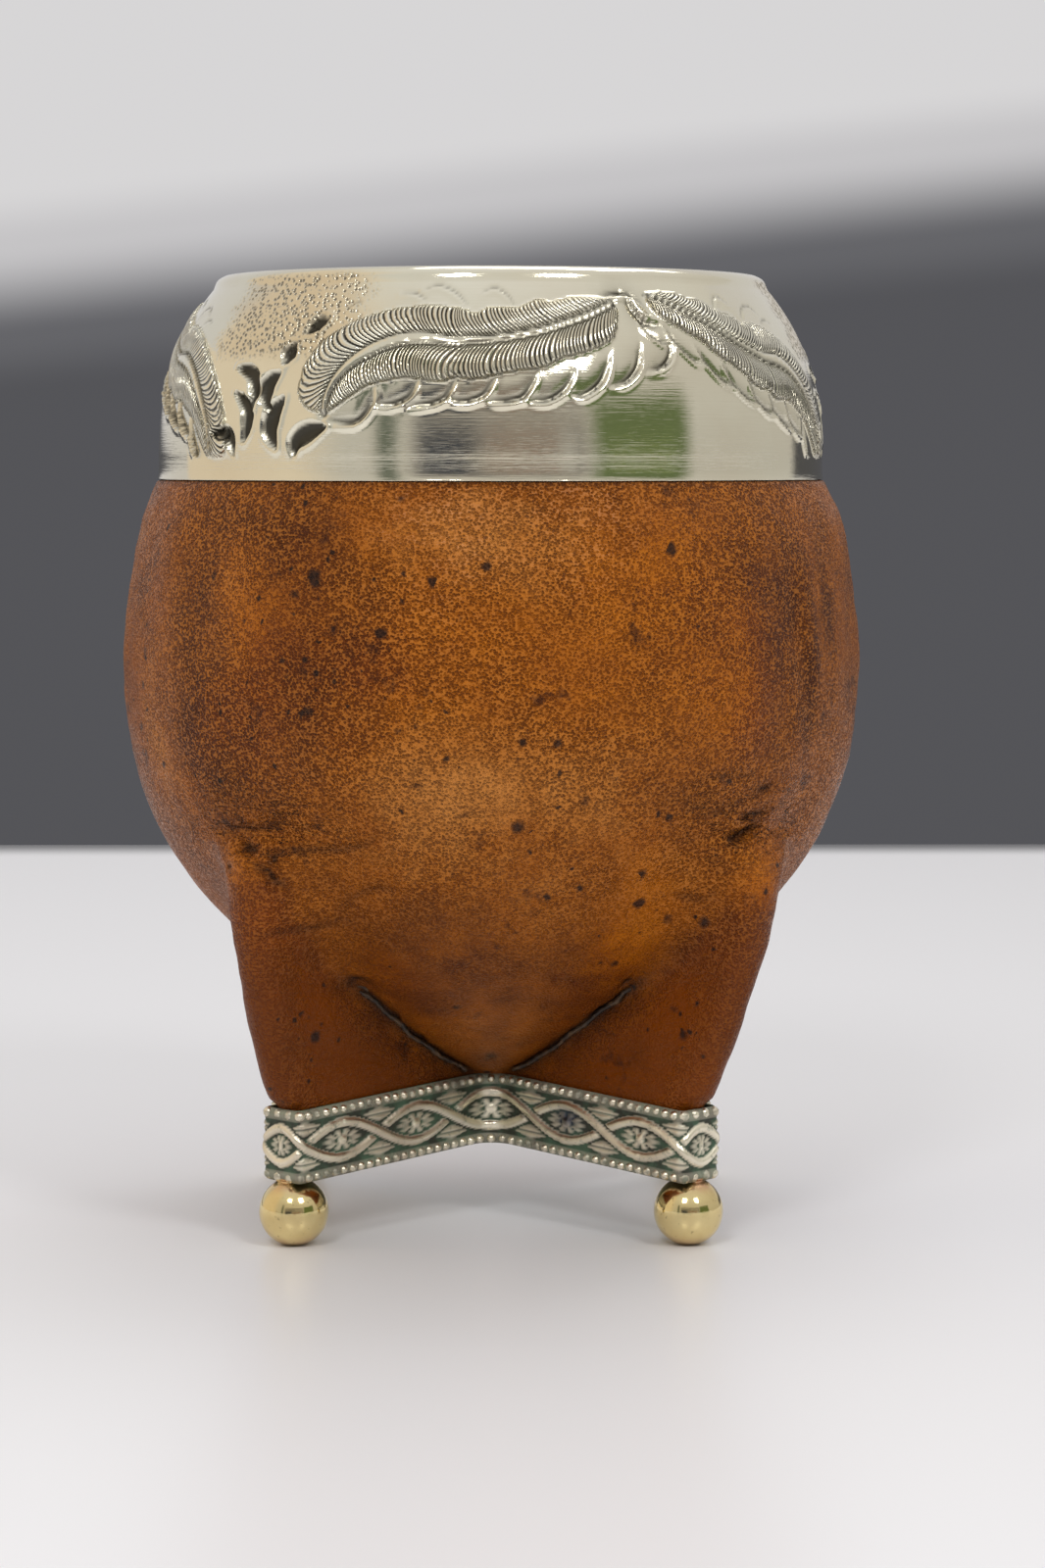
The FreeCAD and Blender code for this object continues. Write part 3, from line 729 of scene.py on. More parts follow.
# one feather leaf, drawn in degrees round from the front and height; tip at -42, stem at 27
leafMidrib = [
    (22.8, 110.1), (17.6, 108.7), (13.7, 107.9), (9.2, 107.0), (4.9, 106.4), (0.7, 105.95), (-3.4, 105.75),
    (-6.3, 105.65), (-10.7, 106.0), (-14.5, 105.95), (-18, 105.4), (-21.3, 104.4), (-24, 103.2),
    (-26.2, 101.7), (-27.4, 100.2), (-28.0, 98.8), (-28.2, 97.7),
]
leafUpper = [
    (-28.6, 97.6), (-31.6, 98.3), (-33.5, 100.0), (-33.3, 101.7), (-33.0, 103.1), (-31.5, 104.8),
    (-29.2, 106.4), (-26.7, 107.4), (-24.6, 108.1), (-22, 108.75), (-18, 109.4), (-14.4, 109.7),
    (-9.9, 109.8), (-4.9, 109.4), (-2.7, 108.9), (-0.1, 109.65), (3.4, 109.5), (5.2, 109.65), (8.5, 110.5),
    (11.1, 110.3), (15, 110.8), (18.3, 110.85), (21.1, 110.6), (22.8, 110.1),
]
leafLower = [
    (-28.1, 97.6), (-27.2, 97.8), (-22.5, 99.85), (-20.5, 100.7), (-16.3, 101.35), (-13.8, 101.6),
    (-10.9, 101.3), (-8.1, 101.05), (-5.7, 101.6), (-2.9, 101.3), (1.5, 101.9), (5.5, 102.4), (8.8, 102.7),
    (12.2, 103.8), (15.2, 104.25), (19.3, 105.2), (21.9, 106.4), (23.4, 109.2), (22.8, 110.1),
]
leafCuts = [
    [(-26.9, 96.55), (-22.3, 96.54), (-19.8, 98.33), (-19.3, 99.84)],
    [(-19.4, 98.6), (-16.5, 98.46), (-13.3, 99.41), (-12.1, 101.06)],
    [(-13.8, 98.31), (-10.8, 98.44), (-7.6, 99.13), (-5.9, 101.05)],
    [(-7.4, 99.13), (-4, 98.85), (-0.9, 99.67), (0.7, 101.59)],
    [(-0.7, 98.98), (1.9, 98.85), (5.4, 99.4), (7.5, 101.6)],
    [(5.8, 98.99), (9.4, 98.99), (12.3, 100.23), (13.7, 101.89)],
    [(13.3, 99.69), (15.5, 99.56), (18.6, 101.08), (20.3, 103.58)],
    [(20.3, 100.67), (23, 101.1), (25.5, 102.78), (26.6, 105.15)],
]
leafArcs = [
    [(-27.1, 109.4), (-25.6, 110.2), (-24.2, 110.3)], [(-16.8, 111.4), (-14.2, 111.3), (-11.8, 110.5)],
    [(-12.6, 111.7), (-9.9, 112.2), (-6.5, 111.35), (-4.1, 109.9)],
    [(-1.5, 111.4), (0.9, 111.9), (3.2, 111.0), (4.4, 109.8)],
]
stemCuts = [
    [(0.5, 102.37), (3.2, 102.81), (5.1, 103.94), (6.0, 105.63)],
    [(-5.7, 110.9), (-1.4, 111.2), (0.9, 110.6), (1.7, 109.81)],
]
tipGouges = [
    ([(7.9, 107.0), (9.6, 107.9), (11.8, 108.4)], 0.42), ([(4.8, 103.4), (5.3, 104.6), (6.3, 105.6)], 0.5),
    ([(2.4, 98.1), (1.5, 100.0), (2.1, 101.3), (4.1, 102.3)], 0.55),
    ([(4.4, 93.7), (3.0, 95.6), (3.6, 97.6), (5.6, 99.4)], 0.55),
    ([(8.0, 92.8), (8.6, 94.5), (11.2, 95.6), (14.0, 96.1)], 0.55),
    ([(-6.3, 103.0), (-2.4, 102.2), (-1.2, 100.4), (-1.0, 98.4)], 0.45),
    ([(-5.7, 100.0), (-2.6, 98.4), (-2.2, 96.4), (-2.9, 94.5)], 0.45),
    ([(-10.9, 95.4), (-6.8, 95.2), (-5.3, 92.8)], 0.4),
]
# where the six leaves lie: azimuth of the tip, azimuth of the stem, whether its tip narrows towards the lip
leaves = [
    (-42, 27, False), (85, 27, True), (85, 143, False), (201, 143, True), (201, 260, False),
    (318, 260, True),
]


def ringOutline(z):
    # upright at its edge, with a small flare, rolling inwards towards the lip
    rise = z - ring["bottom"]
    flare = ring["flare"] * np.clip(1 - rise / ring["flareHeight"], 0, 1) ** 2
    return ring["radius"] + flare - ring["drop"] * np.clip(rise / ring["height"], 0, 1) ** ring["fullness"]


def insideOutline(x, y, outline):
    # even-odd test of many points against one closed outline
    a = outline
    b = np.roll(outline, -1, 0)
    crossing = (a[:, 1] > y[:, None]) != (b[:, 1] > y[:, None])
    at = a[:, 0] + (y[:, None] - a[:, 1]) * (b[:, 0] - a[:, 0]) / (b[:, 1] - a[:, 1] + 1e-12)
    return (crossing & (x[:, None] < at)).sum(1) % 2 == 1


def chasedRelief(azimuth, z):
    # the height of the chased drawing, and masks for its flutes, dark cuts and punched ground
    az = azimuth % 360
    plane = ring["plane"]
    x, y = np.zeros_like(az), z.copy()
    for tip, stem, drawn in leaves:
        low, high = min(tip, stem), max(tip, stem)
        a = np.where(az > high + 1e-9, az - 360, az)
        here = (a >= low) & (a <= high)
        if low < 0:
            here = (az <= high) | (az >= low + 360)
            a = np.where(az > 180, az - 360, az)
        share = (a - stem) / (tip - stem)
        x = np.where(here, (27 - share * 69) * plane, x)
        if drawn:
            run = share * abs(tip - stem) * plane
            top = 111.5 - 0.006 * run ** 2
            squeeze = 0.58 + 0.42 * smoothStep(run, 0, 20)
            y = np.where(here, 110.5 - (top - z) / squeeze, y)
    relief, cut = np.zeros_like(az), np.zeros_like(az)
    flute, phase = np.zeros_like(az), np.zeros_like(az)
    scale = np.array([plane, 1.0])
    rib = curveThrough(np.array(leafMidrib) * scale, 90)
    for contour, direction in ((leafUpper, 1), (leafLower, -1)):
        edge = curveThrough(np.array(contour) * scale, 120)
        outline = np.vstack([edge, rib])
        low, high = outline.min(0), outline.max(0)
        box = (x > low[0]) & (x < high[0]) & (y > low[1]) & (y < high[1])
        index = np.flatnonzero(box)
        index = index[insideOutline(x[index], y[index], outline)]
        px, py = x[index], y[index]
        toRib, along = pathDistance(px, py, rib)[:2]
        toEdge = pathDistance(px, py, edge)[0]
        u = toRib / (toRib + toEdge + 1e-6)
        relief[index] = ring["domeHeight"] * np.clip(4 * u * (1 - u), 0, 1) ** 0.55 + 0.10
        lean = along - 1.5 * toRib + 0.24 * toRib ** 2
        phase[index] = lean / ring["flutePitch"] + 0.30 * np.sin(lean * 1.1) + 0.16 * np.sin(lean * 2.7 + 1)
        flute[index] = smoothStep(toRib, 0.35, 0.8) * smoothStep(toEdge, 0.0, 0.35)
        cut[index] = 0.85 * np.exp(-(toEdge / 0.22) ** 2) * (1 if direction == -1 else 0.5)
    # the midrib: a raised band between two dark lines
    near, distance, along, side = strokeField(x, y, rib, 1.0)
    wide = 0.20 + 0.42 * np.interp(along, [0, 0.45, 0.62, 0.78, 0.9, 1], [0, 0.25, 1, 1, 0.4, 0])
    groove = 0.34 * np.exp(-((distance - wide - 0.12) / 0.16) ** 2)
    relief[near] += 0.22 * np.exp(-(distance / wide) ** 4) - groove
    cut[near] = np.maximum(cut[near], 0.95 * np.exp(-((distance - wide - 0.12) / 0.2) ** 2))
    flute[near] *= smoothStep(distance, wide, wide + 0.3)
    # scale-like cuts below the leaf: a hollow that deepens to a dark line, then a bright raised rim
    cuts = [(np.array(c), x, y) for c in leafCuts]
    for stem in ring["stems"]:
        off = halfTurns(az - stem)
        for c in stemCuts:
            cuts.append((np.array(c), off * plane, z))
        if stem == 27:
            cuts.append((np.array(stemCuts[0]) * (-1, 1) + (5, 5.5), off * plane, z))
    for c, cx, cy in cuts:
        line = curveThrough(c * scale, 18)
        near, distance, along, side = strokeField(cx, cy, line, 0.62)
        if distance is None:
            continue
        taper = np.sin(np.clip(along, 0.03, 0.97) * pi) ** 0.55
        inner = side > 0
        hollow = -ring["cutDepth"] * np.where(inner, np.exp(-distance / 0.85), np.exp(-(distance / 0.13) ** 2))
        lifted = 1.15 * ring["rimLift"] * np.where(inner, 0, np.exp(-((distance - 0.42) / 0.30) ** 2))
        relief[near] += taper * (hollow * (1 - 0.7 * flute[near]) + lifted)
        # the painted shade lies on the hollow's floor, a little inside the line, and thins out across the scale
        floorDark = np.maximum(np.exp(-((distance - 0.35) / 0.32) ** 2), 0.45 * np.exp(-distance / 0.9))
        cut[near] = np.maximum(cut[near], taper * np.where(inner, floorDark, np.exp(-(distance / 0.10) ** 2)))
    for c in leafArcs:
        line = curveThrough(np.array(c) * scale, 12)
        near, distance, along, side = strokeField(x, y, line, 0.35)
        if distance is not None:
            taper = np.sin(np.clip(along, 0.03, 0.97) * pi) ** 0.5
            lifted = 0.10 * (side < 0) * np.exp(-((distance - 0.4) / 0.3) ** 2)
            relief[near] += taper * (-0.16 * np.exp(-(distance / 0.14) ** 2) + lifted)
            cut[near] = np.maximum(cut[near], 0.5 * taper * np.exp(-(distance / 0.13) ** 2))
    for tip in ring["tips"]:
        off = halfTurns(az - tip)
        for c, width in tipGouges:
            line = curveThrough(np.array(c) * scale, 14)
            near, distance, along, side = strokeField(off * plane, z, line, width * 2.2)
            if distance is None:
                continue
            wide = 2.1 * width * (0.2 + 0.9 * np.sin(np.clip(along, 0, 1) * pi) ** 0.8)
            hollow = np.clip(1 - (distance / wide) ** 2, 0, 1)
            relief[near] += -0.62 * hollow ** 0.7 + 0.16 * np.exp(-((distance - wide - 0.3) / 0.28) ** 2)
            cut[near] = np.maximum(cut[near], smoothStep(hollow, 0.05, 0.55) * 0.95)
    ground = np.zeros_like(az)
    for tip in ring["tips"]:
        off = halfTurns(az - tip)
        wide = smoothStep(z, 103.4, 105.5) * (1 - smoothStep(np.abs(off - 2 + 0.9 * np.sin(z * 1.9)), 12, 19))
        ground = np.maximum(ground, wide * (1 - smoothStep(z, 113.4, 114.2)))
    ground *= (flute < 0.02)
    return relief, cut, flute, phase, ground


def makeRing(material):
    # skirt and rolled lip in fine columns; funnel, collar and the inside of the skirt in half as many
    r = ring
    edge = [90.0, 90.08, 90.3, 90.6, 91.0, 91.5, 92.0]
    heights = np.concatenate([edge, np.arange(92.35, r["lipStart"] + 0.01, r["rowStep"])])
    outerR = ringOutline(heights)
    lipCentre = (ringOutline(np.array([r["lipStart"]]))[0] - r["lipRadius"], r["lipStart"])
    lipTurn = np.array([0.25, 0.55, 0.85, 1.15])
    denseR = np.concatenate([outerR, lipCentre[0] + r["lipRadius"] * np.cos(lipTurn)])
    denseZ = np.concatenate([heights, lipCentre[1] + r["lipRadius"] * np.sin(lipTurn)])
    azimuth = np.arange(r["columns"]) * 360.0 / r["columns"] - 180
    grid = azimuth[None, :] + 0 * denseZ[:, None]
    zGrid = denseZ[:, None] + 0 * grid
    drawn = chasedRelief(grid.ravel(), zGrid.ravel())
    relief, cut, flute, phase, ground = (a.reshape(grid.shape) for a in drawn)
    keep = smoothStep(zGrid, 92.4, 93.2) * (1 - smoothStep(zGrid, 113.2, 114.2))
    relief, cut, flute, ground = relief * keep, cut * keep, flute * keep, ground * keep
    flat = 0.05 * waves(31, 8, 14, 40, np.radians(grid) * 40, zGrid)
    bevel = -0.025 * smoothStep(-zGrid, -93.0, -92.3) * smoothStep(zGrid, 90.2, 90.9)
    slope = np.gradient(denseR, denseZ + np.arange(len(denseZ)) * 1e-9)
    outward, upward = 1 / np.sqrt(1 + slope ** 2), -slope / np.sqrt(1 + slope ** 2)
    outward[heights.size:], upward[heights.size:] = np.cos(lipTurn), np.sin(lipTurn)
    total = relief + flat * 0.6 + bevel - 0.12
    rho = denseR[:, None] + total * outward[:, None]
    zOut = np.minimum(zGrid + total * upward[:, None], 114.38)
    angle = np.radians(grid - 90)
    points = [np.stack([rho * np.cos(angle), rho * np.sin(angle), zOut], -1).reshape(-1, 3)]
    path = [(lipCentre[0] + r["lipRadius"] * np.cos(t), lipCentre[1] + r["lipRadius"] * np.sin(t))
            for t in (1.5, 1.8, 2.1)]
    start, end = np.array(path[-1]), np.array(r["funnelEnd"])
    for share in (0.15, 0.3, 0.45, 0.6, 0.75, 0.86, 0.94):
        path.append(tuple(start + (end - start) * np.array([share, share ** 1.5])))
    collar = r["funnelEnd"][0] - 0.8
    path += [(collar + out, z) for out, z in (
        (0.55, 110.9), (0.18, 110.4), (0, 109.6), (0, 107.5), (0, 105.2), (0, 103.25), (0.25, 103.02),
        (0.6, 103.05), (0.8, 103.3), (0.8, 108.0), (1.2, 109.8))]
    path += [(28.6, 110.6), (30.2, 111.6), (31.6, 112.4)]
    inner = [113.0, 111.0, 108.0, 105.0, 101.0, 97.0, 93.0, 91.0, 90.15]
    path += [(ringOutline(np.array([z]))[0] - 0.12 - 0.9 * r["wall"], z) for z in inner]
    turn = np.radians(azimuth[::2] - 90)
    for rr, zz in path:
        points.append(np.stack([rr * np.cos(turn), rr * np.sin(turn), np.full(len(turn), zz)], -1))
    count, half = r["columns"], r["columns"] // 2
    first = count * len(denseZ)
    quads = np.vstack([ringFaces(0, count, len(denseZ)), ringFaces(first, half, len(path))])
    lastRow = first + (len(path) - 1) * half
    tris = np.vstack([halvingFaces(first - count, first, count), halvingFaces(0, lastRow, count)[:, ::-1]])
    points = np.vstack(points)
    pad = np.zeros(len(points) - first)
    masks = {"cut": cut, "flute": flute, "phase": phase, "ground": ground}
    data = {name: np.concatenate([values.ravel(), pad]) for name, values in masks.items()}
    fillMesh("rim_chased", points, quads, tris, material, ("rim_ring",), data)


def makeRingMaterial():
    # warm nickel silver: polished high places; the cuts, flute valleys and punch marks painted dark, partly
    # black left in the cuts and partly painted shade; fine turning lines on the plain band
    material, tree, shader = newMaterial("chasedSilver")
    place = node(tree, "ShaderNodeTexCoord", -1800, 0).outputs["Object"]
    cut, flute, phase, ground = (attribute(tree, k) for k in ("cut", "flute", "phase", "ground"))
    wave = maths(tree, "ABSOLUTE", maths(tree, "SINE", maths(tree, "MULTIPLY", phase, pi)))
    ridge = maths(tree, "POWER", wave, 0.7)
    hair = ramp(tree, noise(tree, place, 300.0, 3.0, 0.6), [(0.30, 0.60), (0.58, 1.0)])
    valley = maths(tree, "MULTIPLY", ramp(tree, wave, [(0.34, 1.0), (0.80, 0.0)]),
            maths(tree, "MULTIPLY", flute, hair))
    dots = node(tree, "ShaderNodeTexVoronoi", feature="F1")
    dots.inputs["Scale"].default_value = 1900.0
    tree.links.new(place, dots.inputs["Vector"])
    pit = maths(tree, "MULTIPLY", ramp(tree, dots.outputs["Distance"], [(0.20, 1.0), (0.50, 0.0)]), ground)
    film = useGroup(tree, tarnishFilm, Vector=place, Size=45.0, Amount=0.6)
    # painted shade: cuts, flute valleys and punched dots take the near-black shadow colour
    dark = maths(tree, "MAXIMUM", cut, maths(tree, "MULTIPLY", valley, 0.97))
    dark = maths(tree, "MAXIMUM", dark, maths(tree, "MULTIPLY", pit, 0.75))
    colour = blendColour(tree, film.outputs["Film"], ring["metal"], (0.72, 0.64, 0.49, 1))
    colour = blendColour(tree, maths(tree, "MULTIPLY", ground, 0.35), colour, ring["warm"])
    colour = blendColour(tree, dark, colour, ring["shadow"])
    tree.links.new(colour, shader.inputs["Base Color"])
    shader.inputs["Metallic"].default_value = 1.0
    lines = useGroup(tree, fineScratches, Vector=placed(tree, place, (120, 120, 4400)), Size=1.0)
    base = maths(tree, "MULTIPLY_ADD", film.outputs["Film"], 0.08, 0.07)
    rough = maths(tree, "ADD", base, maths(tree, "MULTIPLY", dark, 0.4))
    rough = maths(tree, "ADD", rough, maths(tree, "MULTIPLY", ground, 0.12))
    tree.links.new(rough, shader.inputs["Roughness"])
    plain = maths(tree, "SUBTRACT", 1.0, maths(tree, "MAXIMUM", flute, ground), clamp=True)
    normal = bump(tree, maths(tree, "MULTIPLY", lines.outputs["Height"], plain), 0.30, 0.00007)
    normal = bump(tree, maths(tree, "MULTIPLY", ridge, flute), 1.0, 0.00030, normal)
    normal = bump(tree, pit, 0.8, -0.00012, normal)
    tree.links.new(normal, shader.inputs["Normal"])
    return material


ringMaterial = makeRingMaterial()
makeRing(ringMaterial)
print("ring made")


# shoe

shoe = {
    "topAtMiddle": 17.9, "droop": 0.045, "height": 8.6, "halfWidth": 3.25, "reach": 35.25,
    "valley": 3.0, "corner": 0.9, "wall": 0.75, "floor": 0.8,
    "columns": 1300, "rows": 36, "stainAt": 12.4, "stainValley": 2,
    "eyePitch": 12.2, "swing": 2.06, "ribbon": 0.62, "ribbonHeight": 0.50,
    "beadPitch": 1.43, "beadRadius": 0.56, "capBeadPitch": 1.75, "capBeadRadius": 0.72,
    "metal": (0.93, 0.87, 0.70, 1), "verdigris": (0.060, 0.115, 0.070, 1), "shadow": (0.030, 0.033, 0.022, 1),
}


def roundedOutline(corners, radii, count):
    # points evenly spaced round a closed outline of straight runs and tangent arcs, and their outward ways
    corners, radii = np.asarray(corners, float), np.asarray(radii, float)
    back, ahead = np.roll(corners, 1, 0) - corners, np.roll(corners, -1, 0) - corners
    back /= np.linalg.norm(back, axis=1)[:, None]
    ahead /= np.linalg.norm(ahead, axis=1)[:, None]
    half = np.arccos(np.clip((back * ahead).sum(1), -1, 1)) / 2
    inward = back + ahead
    inward /= np.linalg.norm(inward, axis=1)[:, None]
    centre = corners + inward * (radii / np.sin(half))[:, None]
    start = corners + back * (radii / np.tan(half))[:, None]
    end = corners + ahead * (radii / np.tan(half))[:, None]
    first = np.arctan2(*(start - centre).T[::-1])
    sweep = (np.arctan2(*(end - centre).T[::-1]) - first + pi) % (2 * pi) - pi
    t = np.linspace(0, 1, 24)
    arcs = first[:, None] + sweep[:, None] * t
    swing = radii[:, None]
    line = np.stack([centre[:, :1] + swing * np.cos(arcs), centre[:, 1:] + swing * np.sin(arcs)], -1)
    line = line.reshape(-1, 2)
    line = np.vstack([line, line[:1]])
    run = np.concatenate([[0], np.cumsum(np.hypot(*np.diff(line, axis=0).T))])
    at = np.linspace(0, run[-1], count, endpoint=False)
    points = np.stack([np.interp(at, run, line[:, 0]), np.interp(at, run, line[:, 1])], -1)
    tangent = np.roll(points, -1, 0) - np.roll(points, 1, 0)
    tangent /= np.linalg.norm(tangent, axis=1)[:, None]
    return points, np.stack([tangent[:, 1], -tangent[:, 0]], -1), at, run[-1]


def crossCorners(halfWidth, reach, valley, corner):
    # the corners of the cross, counter-clockwise: each arm's two tips, then the valley after it
    angles = sorted(legAngles.values())
    corners, radii = [], []
    for k, angle in enumerate(angles):
        a = radians(angle)
        along, across = np.array([np.cos(a), np.sin(a)]), np.array([-np.sin(a), np.cos(a)])
        corners += [reach * along - halfWidth * across, reach * along + halfWidth * across]
        following = angles[(k + 1) % 4] + (360 if k == 3 else 0)
        middle = radians((angle + following) / 2)
        corners.append(halfWidth / np.sin(radians((following - angle) / 2))
                * np.array([np.cos(middle), np.sin(middle)]))
        radii += [corner, corner, valley]
    return corners, radii


def shoeTop(rho):
    # the height of the shoe's upper edge: it falls evenly from the middle out along the arms
    return shoe["topAtMiddle"] - shoe["droop"] * rho


def castPattern(fromValley, side, v):
    # relief of the cast band: two ribbons passing over and under, a flower in each eye, leaves in the corners
    # fromValley is the run to the nearest valley, side its sign, v the height from the band's middle
    s = shoe
    far = 2.5 * s["eyePitch"]
    capRun = np.maximum(fromValley - far, 0)
    phase = np.minimum(fromValley, far) / s["eyePitch"] + capRun / (2 * (s["capEnd"] - far))
    u = side * phase
    swing = s["swing"] * np.cos(pi * u)
    slope = -s["swing"] * pi * np.sin(pi * u) / s["eyePitch"]
    stretch = 1 / np.sqrt(1 + slope ** 2)
    first, second = np.abs(v - swing) * stretch, np.abs(v + swing) * stretch
    overFirst = slope < 0                      # the strand running down to the right lies on top
    over, under = np.where(overFirst, first, second), np.where(overFirst, second, first)
    w = s["ribbon"]
    topRibbon = np.sqrt(np.clip(1 - (over / w) ** 2, 0, 1))
    gap = smoothStep(over, w + 0.05, w + 0.5)
    lowRibbon = np.sqrt(np.clip(1 - (under / w) ** 2, 0, 1)) * gap
    height = np.maximum(topRibbon, lowRibbon * 0.86) * s["ribbonHeight"]
    # flower in the eye: a boss and pointed petals spreading along the eye
    across = (u - np.round(u)) * s["eyePitch"]
    inEye = smoothStep(np.minimum(first, second), w + 0.12, w + 0.34) * (np.abs(v) < np.abs(swing))
    turn = np.arctan2(v * 2.4, across)
    r = np.hypot(across * 0.52, v * 1.15)
    petals = np.abs(np.cos(turn * 5)) ** 0.9 * (1 - smoothStep(r, 1.1, 2.0)) * smoothStep(r, 0.3, 0.6)
    boss = np.sqrt(np.clip(1 - (np.hypot(across * 0.9, v) / 0.72) ** 2, 0, 1))
    height = np.maximum(height, inEye * np.maximum(0.26 * petals, 0.40 * boss))
    # leaves above and below each crossing, split by a groove
    off = (u - np.floor(u) - 0.5) * s["eyePitch"]
    out = np.abs(v) - 1.25
    leafWide = np.clip(1 - np.abs(off) / 3.4, 0, 1) * 1.6
    leaf = np.clip(1 - ((out - 0.85) / (leafWide * 0.62 + 0.02)) ** 2, 0, 1) ** 0.6 * (leafWide > 0.12)
    leaf *= 1 - 0.7 * np.exp(-((out - 0.85) / 0.13) ** 2)
    free = smoothStep(np.minimum(first, second), w + 0.10, w + 0.28) * (np.abs(v) > np.abs(swing) - 0.2)
    height = np.maximum(height, 0.30 * leaf * free)
    return height, np.clip(height / 0.34, 0, 1)


def makeShoe(material, beadMaterial):
    # the band goes round the cross; a foot plate closes it below and an inner wall runs down behind its top
    s = shoe
    corners, radii = crossCorners(s["halfWidth"], s["reach"], s["valley"], s["corner"])
    points, outward, run, length = roundedOutline(corners, radii, s["columns"])
    angles = sorted(legAngles.values())
    middles = [radians((angles[k] + angles[(k + 1) % 4] + (360 if k == 3 else 0)) / 2) for k in range(4)]
    nearest = np.array([np.argmin(np.hypot(*(points - np.array([np.cos(m), np.sin(m)])
                        * (s["halfWidth"] / np.sin(radians(45)) - 1.2)).T)) for m in middles])
    gaps = np.stack([(run - run[k] + length / 2) % length - length / 2 for k in nearest])
    pick = np.abs(gaps).argmin(0)
    signed = gaps[pick, np.arange(len(run))]
    limit = np.array([np.abs(signed[pick == k]).max() for k in range(4)])
    s["capEnd"] = float(limit.mean())
    rho = np.hypot(*points.T)
    top = shoeTop(rho)
    share = np.linspace(0, 1, s["rows"])[:, None]
    edgeRound = 0.35 * (np.exp(-(share / 0.035) ** 2) + np.exp(-((1 - share) / 0.035) ** 2))
    z = top - s["height"] * (1 - share)
    v = (share - 0.5) * s["height"]
    height, raised = castPattern(np.abs(signed)[None, :] + 0 * v, np.sign(signed)[None, :] + 0 * v, v + 0 * z)
    fade = 1 - smoothStep(np.abs(v), 2.75, 3.05)
    rail = 0.16 * smoothStep(np.abs(v), 2.85, 3.15)
    total = height * fade + rail - 0.14 - edgeRound + 0.02 * waves(5, 10, 2, 6, points[:, 0], points[:, 1], z)
    x = points[:, 0] + total * outward[:, 0]
    y = points[:, 1] + total * outward[:, 1]
    rows = [np.stack([x, y, z + 0 * x], -1).reshape(-1, 3)]
    raised = np.maximum(raised * fade, 0.35 * smoothStep(np.abs(v), 2.85, 3.15) + 0 * z)
    half = s["columns"] // 2
    sparse, away = points[::2], outward[::2]
    below = shoeTop(np.hypot(*sparse.T)) - s["height"]
    crossIn, radiiIn = crossCorners(s["halfWidth"] - s["wall"], s["reach"] - s["wall"],
            s["valley"] + s["wall"], 0.12)
    inside = roundedOutline(crossIn, radiiIn, half)[0]
    order = np.hypot(*(inside - (sparse[0] - away[0] * s["wall"])).T).argmin()
    inside = np.roll(inside, -order, 0)
    topIn = shoeTop(np.hypot(*inside.T))
    tail = [np.stack([sparse[:, 0] - 0.45 * away[:, 0], sparse[:, 1] - 0.45 * away[:, 1], topIn - 0.02], -1),
            np.stack([inside[:, 0], inside[:, 1], topIn - 0.12], -1),
            np.stack([inside[:, 0], inside[:, 1], topIn - s["height"] + s["floor"]], -1)]
    head = [np.stack([inside[:, 0], inside[:, 1], topIn - s["height"]], -1),
            np.stack([sparse[:, 0] - 0.5 * away[:, 0], sparse[:, 1] - 0.5 * away[:, 1], below], -1)]
    first = len(rows[0])
    bottom = shoeTop(0) - s["height"]
    allPoints = np.vstack(rows + tail + head + [[[0, 0, bottom + s["floor"]], [0, 0, bottom]]])
    tailAt, headAt = first, first + 3 * half
    poleUp, poleDown = len(allPoints) - 2, len(allPoints) - 1
    quads = np.vstack([ringFaces(0, s["columns"], s["rows"]), ringFaces(tailAt, half, 3),
            ringFaces(headAt, half, 2)])
    tris = np.vstack([
        halvingFaces(first - s["columns"], tailAt, s["columns"]),
        halvingFaces(0, headAt + half, s["columns"])[:, ::-1],
        poleFaces(tailAt + 2 * half, half, poleUp, False),
        poleFaces(headAt, half, poleDown, True),
    ])
    pad = np.zeros(len(allPoints) - first)
    blue = np.exp(-((signed[None, :] + 0 * z) - s["stainAt"]) ** 2 / 3.5) * np.exp(-(v - 0.5) ** 2 / 1.6)
    blue = blue * (pick == s["stainValley"])
    fillMesh("shoe_band", allPoints, quads, tris, material, ("base_shoe",),
             {"raised": np.concatenate([raised.ravel(), pad]), "stain": np.concatenate([blue.ravel(), pad])})
    # beads: small flattened balls set along both edges, larger round the tips of the arms
    capAt = s["capEnd"] - s["halfWidth"] - 0.4
    places, sizes = [], []
    for k in range(4):
        for low, high, pitch, radius in ((-capAt, capAt, s["beadPitch"], s["beadRadius"]),
                                         (capAt, 2 * limit[k] - capAt, s["capBeadPitch"], s["capBeadRadius"])):
            count = int(round((high - low) / pitch))
            where = (run[nearest[k]] + low + (np.arange(count) + 0.5) * (high - low) / count) % length
            places.append(where)
            sizes.append(np.full(count, radius))
    places, sizes = np.concatenate(places), np.concatenate(sizes)
    px, py, ox, oy = (np.interp(places, run, v, period=length) for v in (*points.T, *outward.T))
    centres, radiiAll = [], []
    for depth in (0.62, s["height"] - 0.62):
        rng = np.random.default_rng(int(depth * 100))
        inset = -0.12 - 0.34 * (sizes > s["beadRadius"] + 0.01) + rng.normal(0, 0.03, len(px))
        beadZ = shoeTop(np.hypot(px, py)) - depth + rng.normal(0, 0.03, len(px))
        centres.append(np.stack([px + inset * ox, py + inset * oy, beadZ], -1))
        radiiAll.append(sizes * (1 + rng.normal(0, 0.04, len(px))))
    centres, radiiAll = np.vstack(centres), np.concatenate(radiiAll)
    lat = np.linspace(-pi / 2, pi / 2, 6)[1:-1]
    lon = np.arange(8) * 2 * pi / 8
    sides = [np.outer(np.cos(lat), np.cos(lon)).ravel(), np.outer(np.cos(lat), np.sin(lon)).ravel(),
             np.repeat(np.sin(lat), 8)]
